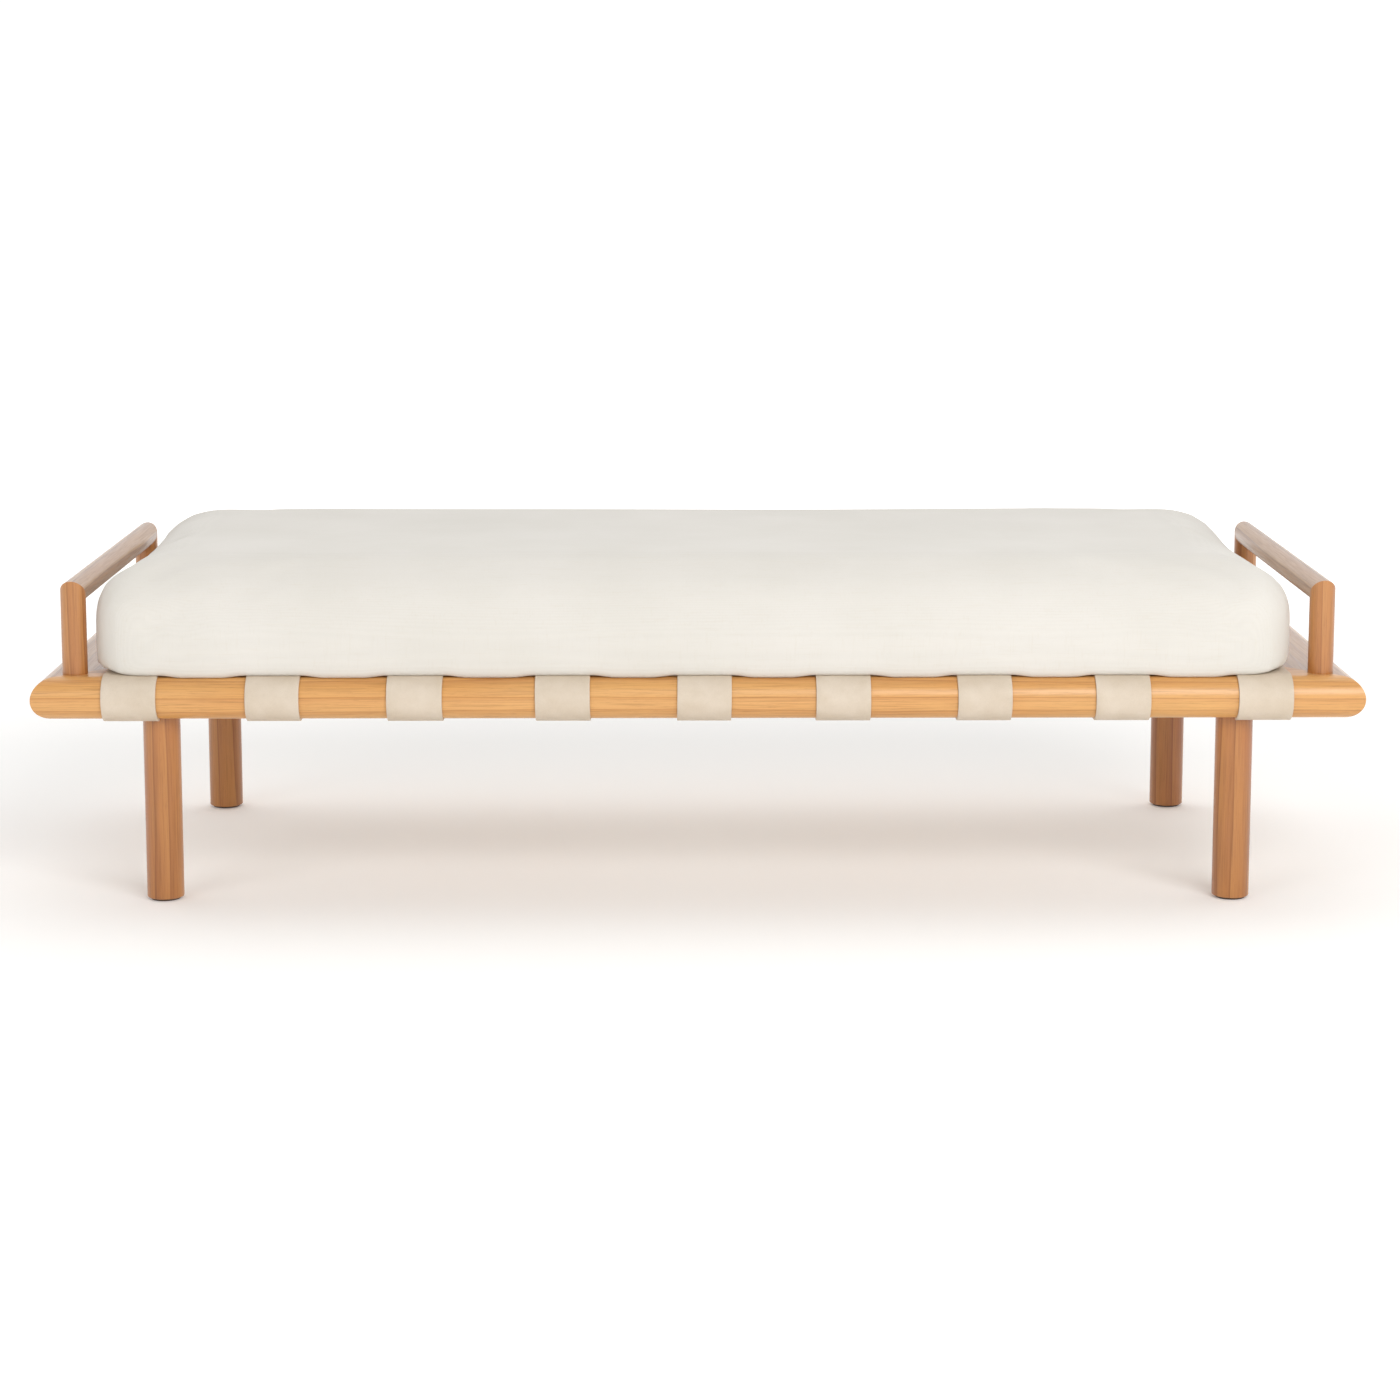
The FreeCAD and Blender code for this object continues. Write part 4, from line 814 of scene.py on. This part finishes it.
straps = []
for index, node in enumerate(STRAPS):
    low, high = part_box(node)
    centre = (low.x + high.x) / 2
    width = high.x - low.x + EXTRAS[index] * MM
    bpy.ops.mesh.primitive_grid_add(x_subdivisions=8, y_subdivisions=30, size=1,
                                    location=(centre, 0, RAIL_MIDDLE + sheet_radius))
    bpy.context.object.scale = (width, 2 * BULLNOSE, 1)
    strap = edit("leather_" + node)
    for side in (-1, 1):
        wrap_end(strap, side, BULLNOSE - (-FRONT_FACE - 80 * MM))
    bpy.ops.mesh.select_all(action="SELECT")
    bpy.ops.mesh.remove_doubles(threshold=0.01 * MM)
    only(strap)
    for point in strap.data.vertices:
        spot = point.co
        across = (spot.x - centre) / (width / 2)
        if spot.z > RAIL_MIDDLE and abs(spot.y) < INNER_EDGE:
            spot.z -= STRAP_SAG * (1 - (spot.y / INNER_EDGE) ** 2)
        spot.x += LEANS[index] * MM * spot.y / BULLNOSE
        spot.x += noise.noise(Vector((index * 7.0, spot.y * 6, spot.z * 9))) * 0.8 * MM
        face = abs(spot.y) - BULLNOSE
        if face > 0:
            lift = 0.5 * MM * across ** 4
            spot.y += math.copysign(lift, spot.y) * face / RAIL_RADIUS
    upward = sum(p.normal.z for p in strap.data.polygons if p.center.z > DECK - 4 * MM)
    if upward < 0:
        bpy.ops.object.mode_set(mode="EDIT")
        bpy.ops.mesh.select_all(action="SELECT")
        bpy.ops.mesh.flip_normals()
        only(strap)
    modify(strap, "SOLIDIFY", thickness=HIDE_THICKNESS, offset=0, use_even_offset=True,
           material_offset=2, material_offset_rim=1)
    straps.append(strap)
print(len(straps), "straps wrapped")

# %% Straps notched, eased and finished
for strap, node in zip(straps, STRAPS):
    for post in ("leg_front_left", "leg_back_left", "leg_front_right", "leg_back_right"):
        leg_low, leg_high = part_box(post)
        low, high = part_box(node)
        if leg_high.x > low.x and leg_low.x < high.x:
            notch(strap, post, 1.5 * MM)
    # The cut edge takes the darker edge tone, partly painted shade on the strap's sides.
    finish_piece(strap, "frame", "leather", (node,), grain_side, cut_edge_and_painted_shade, flesh_side)
    modify(strap, "BEVEL", width=0.7 * MM, segments=2, limit_method="ANGLE",
           angle_limit=math.radians(50), use_clamp_overlap=True)
    only(strap)
    bpy.ops.object.shade_smooth_by_angle(angle=math.radians(40))
print("straps:", sum(len(strap.data.polygons) for strap in straps), "faces")

# %% [markdown]
# ## Zip
# The cover comes off through a zip along its back. The tape is a woven ribbon with a raised
# cord beside the teeth, so it starts as a flat cube, is cut along four lines by bisect, and
# the two strips between them are extruded outwards. Its ends are rounded. The canvas holds it
# by a row of stitches along each edge and a bar of stitches across each end.

# %% Zip tape
TAPE_THICKNESS = 0.9 * MM
CORD_INNER = 3.4 * MM
CORD_OUTER = 4.6 * MM
TAPE_END_ROUND = 5 * MM

tape_middle = (tape_low + tape_high) / 2
CORD_HEIGHT = tape_high.y - tape_low.y - TAPE_THICKNESS

tape = block("woven_zip_tape", (tape_middle.x, tape_low.y + TAPE_THICKNESS / 2, tape_middle.z),
             (tape_high.x - tape_low.x, TAPE_THICKNESS, tape_high.z - tape_low.z))
pick(tape, "EDGE", lambda spot, edge: near(spot.y, tape_middle.y - CORD_HEIGHT / 2)
     and all(near(abs(v.co.x - tape_middle.x), (tape_high.x - tape_low.x) / 2)
             for v in edge.verts))
bpy.ops.mesh.bevel(offset=TAPE_END_ROUND, segments=5, affect="EDGES")
for height in (-CORD_OUTER, -CORD_INNER, CORD_INNER, CORD_OUTER):
    bpy.ops.mesh.select_all(action="SELECT")
    bpy.ops.mesh.bisect(plane_co=(0, 0, tape_middle.z + height), plane_no=(0, 0, 1))
cords = pick(tape, "FACE", lambda spot, face: near(spot.y, tape_low.y + TAPE_THICKNESS)
             and CORD_INNER < abs(spot.z - tape_middle.z) < CORD_OUTER)
bpy.ops.mesh.extrude_region_move(TRANSFORM_OT_translate={"value": (0, CORD_HEIGHT, 0)})
only(tape)
finish_piece(tape, "mattress", "zip_tape", ("zip_tape",), tape_cloth)
modify(tape, "BEVEL", width=0.12 * MM, segments=1, limit_method="ANGLE",
       angle_limit=math.radians(50))
print("zip tape:", [round(v / MM, 1) for v in tape.dimensions], "mm,", cords, "cords")

# %% [markdown]
# One stitch is a short length of thread, a cube with its edges bevelled. The Array modifier
# repeats it along the tape, then again for the other edge. It has only two dozen faces,
# because there are hundreds of it.

# %% Stitches along the tape
STITCH_PITCH = 4 * MM
STITCH_LENGTH = 2.9 * MM
STITCH_THICKNESS = 0.7 * MM
STITCH_INSET = 2.4 * MM
BAR_STITCHES = 14


def stitch(name, spot, along):
    """One stitch on the back of the tape, lying along an axis."""
    sizes = [STITCH_THICKNESS, STITCH_THICKNESS * 0.8, STITCH_THICKNESS]
    sizes[along] = STITCH_LENGTH
    piece = block(name, spot, sizes)
    bpy.ops.mesh.bevel(offset=STITCH_THICKNESS * 0.26, segments=1, affect="EDGES")
    only(piece)
    return piece


def repeat(piece, count, step):
    """Copies of a piece in a row, as one mesh."""
    modify(piece, "ARRAY", count=count, use_relative_offset=False, use_constant_offset=True,
           constant_offset_displace=step)


def join(name, pieces):
    """Several pieces as one mesh."""
    bpy.ops.object.select_all(action="DESELECT")
    for piece in pieces:
        piece.select_set(True)
    bpy.context.view_layer.objects.active = pieces[0]
    bpy.ops.object.join()
    pieces[0].name = pieces[0].data.name = name
    return pieces[0]


stitch_y = tape_low.y + TAPE_THICKNESS + STITCH_THICKNESS * 0.2
tape_length = tape_high.x - tape_low.x
row_count = int((tape_length - 4 * STITCH_INSET) / STITCH_PITCH)
row_start = tape_middle.x - (row_count - 1) * STITCH_PITCH / 2
rows = stitch("row", (row_start, stitch_y, tape_low.z + STITCH_INSET), 0)
repeat(rows, row_count, (STITCH_PITCH, 0, 0))
repeat(rows, 2, (0, 0, tape_high.z - tape_low.z - 2 * STITCH_INSET))
bar_step = (tape_high.z - tape_low.z - 3 * STITCH_INSET) / (BAR_STITCHES - 1)
bars = stitch("bar", (tape_low.x + 1.7 * STITCH_INSET, stitch_y,
                      tape_low.z + 1.5 * STITCH_INSET), 0)
repeat(bars, BAR_STITCHES, (0, 0, bar_step))
repeat(bars, 2, (tape_length - 3.4 * STITCH_INSET, 0, 0))
stitches = join("tape_stitches", [rows, bars])
finish_piece(stitches, "mattress", "zip_tape", (), thread)
print("stitches:", 2 * (row_count + BAR_STITCHES), "of them,",
      len(stitches.data.polygons), "faces")

# %% [markdown]
# The zip's teeth are stamped from nickel-plated brass and clamped to the tape in two rows.
# Shut, they interlock: each row is half a pitch along from the other and its heads reach
# past the middle. One tooth is a cube with its head drawn out narrower by an extrude and a
# resize, and with its edges bevelled once.

# %% Zip teeth
TOOTH_PITCH = 3 * MM
TOOTH_WIDTH = 1.34 * MM
TOOTH_BODY = 2.5 * MM
TOOTH_HEAD = 1.4 * MM

chain_low, chain_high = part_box("zip_chain")
chain_middle = (chain_low + chain_high) / 2
tooth_count = int((chain_high.x - chain_low.x) / TOOTH_PITCH) - 1


def tooth_row(side):
    """A row of teeth below (-1) or above (1) the middle of the chain."""
    outer = chain_middle.z + side * (chain_high.z - chain_low.z) / 2
    start = chain_low.x + TOOTH_PITCH * (1.0 if side > 0 else 0.5)
    row = block("row", (start, chain_middle.y, outer - side * TOOTH_BODY / 2),
                (TOOTH_WIDTH, chain_high.y - chain_low.y, TOOTH_BODY))
    pick(row, "FACE", lambda spot, face: near(spot.z, outer - side * TOOTH_BODY))
    bpy.ops.mesh.extrude_region_move(
        TRANSFORM_OT_translate={"value": (0, 0, -side * TOOTH_HEAD)})
    bpy.ops.transform.resize(value=(0.72, 0.62, 1))
    bpy.ops.mesh.select_all(action="SELECT")
    bpy.ops.mesh.bevel(offset=0.22 * MM, segments=1, affect="EDGES")
    only(row)
    repeat(row, tooth_count, (TOOTH_PITCH, 0, 0))
    return row


teeth = join("zip_teeth", [tooth_row(-1), tooth_row(1)])
finish_piece(teeth, "mattress", "nickel", ("zip_chain",), nickel)
only(teeth)
bpy.ops.object.shade_smooth_by_angle(angle=math.radians(35))
print("teeth:", 2 * tooth_count, "of them,", len(teeth.data.polygons), "faces")

# %% [markdown]
# The slider, its pull and the two stops have the right shape already, but cast parts have no
# sharp edges. Each is copied as a new mesh, its loose triangles are merged and its flat faces
# made whole. The corners that fingers meet are then rounded by a wide bevel, and all the
# other edges by a fine one.

# %% Slider, pull and stops
EXACT = 0.01 * MM


def eased_copy(node, name, body, corner, width):
    """A copy of a design piece, its corners seen from behind rounded, its edges eased."""
    low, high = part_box(node)
    piece = bpy.data.objects.new(name, frame["nodes"][node].data.copy())
    scene.collection.objects.link(piece)
    only(piece)
    bpy.ops.mesh.customdata_custom_splitnormals_clear()
    bpy.ops.object.mode_set(mode="EDIT")
    bpy.ops.mesh.select_all(action="SELECT")
    bpy.ops.mesh.remove_doubles(threshold=0.004 * MM)
    bpy.ops.mesh.dissolve_limited(angle_limit=math.radians(2))

    def upright_corner(spot, edge):
        """An edge that runs straight out from the tape at a corner of the part."""
        first, second = (v.co for v in edge.verts)
        return (all(near(v.x, low.x, EXACT) or near(v.x, high.x, EXACT) for v in (first, second))
                and all(near(v.z, low.z, EXACT) or near(v.z, high.z, EXACT)
                        for v in (first, second))
                and near(first.x, second.x, EXACT) and near(first.z, second.z, EXACT))

    corners = pick(piece, "EDGE", upright_corner)
    if corners:
        bpy.ops.mesh.bevel(offset=corner, segments=4, affect="EDGES")
    finish_piece(piece, body, "nickel", (node,), nickel)
    modify(piece, "BEVEL", width=width, segments=2, limit_method="ANGLE",
           angle_limit=math.radians(40), use_clamp_overlap=True)
    bpy.ops.object.shade_smooth_by_angle(angle=math.radians(35))
    print(name, "has", corners, "rounded corners and", len(piece.data.polygons), "faces")
    return piece


eased_copy("zip_slider", "cast_zip_slider", "zip_slider", 2.4 * MM, 0.25 * MM)
eased_copy("zip_pull", "cast_zip_pull", "zip_pull", 1.6 * MM, 0.2 * MM)
eased_copy("zip_stops", "pressed_zip_stops", "mattress", 0.8 * MM, 0.25 * MM)

# %% [markdown]
# ## Screws and bolts
# Under the rails the straps are held by pan-head screws with a cross recess, and the handles'
# posts by bolts with a hexagon socket. Each is a cylinder whose upper face is inset and
# extruded into the shank. The lower rim is rounded by a bevel, and the recess is cut by a
# Boolean with a small cutter. Their places are read from the design pieces they stand for.

# %% Places of the screws
def spots_of(node, reach):
    """The middle, across and along, of each separate screw in a design piece."""
    groups = []
    for point in frame["nodes"][node].data.vertices:
        spot = point.co.xy
        group = next((g for g in groups if (g[0] - spot).length < reach), None)
        if group is None:
            groups.append([spot.copy()])
        else:
            group.append(spot.copy())
    middles = []
    for group in groups:
        across = [spot.x for spot in group]
        along = [spot.y for spot in group]
        middles.append(((min(across) + max(across)) / 2, (min(along) + max(along)) / 2))
    return middles


screw_spots = spots_of("strap_screws", 10 * MM)
bolt_spots = spots_of("handle_bolts", 14 * MM)
print(len(screw_spots), "strap screws,", len(bolt_spots), "handle bolts")

# %% Screws and bolts
SCREW_RADIUS = 4.5 * MM
SCREW_HEAD = 2.4 * MM
SCREW_SHANK = 2 * MM
BOLT_RADIUS = 6.5 * MM
BOLT_HEAD = 7 * MM
BOLT_SHANK = 4 * MM


def headed(name, spot, low, high, head, radius, shank, rim):
    """A round head at a spot with its shank going up, its lower rim rounded."""
    x, y = spot
    piece = rod(name, 32, radius, head, (x, y, low + head / 2))
    pick(piece, "FACE", lambda place, face: near(place.z, low + head, EXACT))
    bpy.ops.mesh.inset(thickness=radius - shank)
    bpy.ops.mesh.extrude_region_move(
        TRANSFORM_OT_translate={"value": (0, 0, high - low - head)})
    pick(piece, "EDGE", lambda place, edge: all(near(v.co.z, low, EXACT) for v in edge.verts))
    bpy.ops.mesh.bevel(offset=rim, segments=4, affect="EDGES")
    only(piece)
    return piece


def recess(piece, cutters):
    """Cut a recess with one or more cutters, which are used up."""
    for cutter in cutters:
        modify(piece, "BOOLEAN", operation="DIFFERENCE", object=cutter, solver="EXACT")
        bpy.data.objects.remove(cutter)


def bar_cutter(spot, low, length, width, depth):
    """A small box for one arm of a cross recess, narrower at its end."""
    cutter = block("cutter", (*spot, low), (length, width, depth))
    pick(cutter, "FACE", lambda place, face: near(place.z, low + depth / 2, EXACT))
    bpy.ops.transform.resize(value=(0.55, 0.7, 1))
    only(cutter)
    return cutter


def hexagon_cutter(spot, low, radius, depth):
    """A hexagon bar for a socket."""
    cutter = rod("cutter", 6, radius, depth, (*spot, low))
    only(cutter)
    return cutter


def set_of(name, made, spots):
    """Copies of one screw at every spot, each with its own mesh, joined in one piece."""
    first = Vector((*spots[0], 0))
    pieces = [made]
    for spot in spots[1:]:
        copy = bpy.data.objects.new(name, made.data.copy())
        scene.collection.objects.link(copy)
        copy.location = Vector((*spot, 0)) - first
        only(copy)
        bpy.ops.object.transform_apply(location=True, rotation=True, scale=True)
        pieces.append(copy)
    return join(name, pieces)


low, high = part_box("strap_screws")
screw = headed("screw", screw_spots[0], low.z, high.z, SCREW_HEAD, SCREW_RADIUS, SCREW_SHANK,
               1.4 * MM)
recess(screw, [bar_cutter(screw_spots[0], low.z, 4.6 * MM, 1.1 * MM, 3.2 * MM),
               bar_cutter(screw_spots[0], low.z, 1.1 * MM, 4.6 * MM, 3.2 * MM)])
screws = set_of("pan_head_screws", screw, screw_spots)
low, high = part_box("handle_bolts")
bolt = headed("bolt", bolt_spots[0], low.z, high.z, BOLT_HEAD, BOLT_RADIUS, BOLT_SHANK,
              0.8 * MM)
recess(bolt, [hexagon_cutter(bolt_spots[0], low.z, 3.46 * MM, 8 * MM)])
bolts = set_of("socket_head_bolts", bolt, bolt_spots)
for piece, node in ((screws, "strap_screws"), (bolts, "handle_bolts")):
    finish_piece(piece, "frame", "zinc_plated_steel", (node,), zinc)
    bpy.ops.object.shade_smooth_by_angle(angle=math.radians(35))
    print(piece.name, len(piece.data.polygons), "faces")

# %% [markdown]
# ## Felt pads
# A disc of pressed felt under each leg keeps it off the floor. Felt is cut with a punch, which
# pulls its upper rim round, and standing on it splays its lower rim. So a cylinder gets a
# loop of bevel on both rims, and its edge is given a slow unevenness.

# %% Felt pads
PAD_RIM = 0.8 * MM

for corner in ("front_left", "back_left", "front_right", "back_right"):
    low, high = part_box("felt_pad_" + corner)
    centre = (low + high) / 2
    pad = rod("pressed_felt_pad_" + corner, 72, (high.x - low.x) / 2, high.z - low.z, centre)
    pick(pad, "EDGE", lambda spot, edge: near(spot.z, low.z) or near(spot.z, high.z))
    bpy.ops.mesh.bevel(offset=PAD_RIM, segments=3, affect="EDGES")
    only(pad)
    for point in pad.data.vertices:
        away = Vector((point.co.x - centre.x, point.co.y - centre.y, 0))
        point.co -= away * (0.012 + 0.012 * noise.noise(point.co * 160))
    finish_piece(pad, "frame", "felt", ("felt_pad_" + corner,), felt)
    bpy.ops.object.shade_smooth_by_angle(angle=math.radians(40))
print("four felt pads")
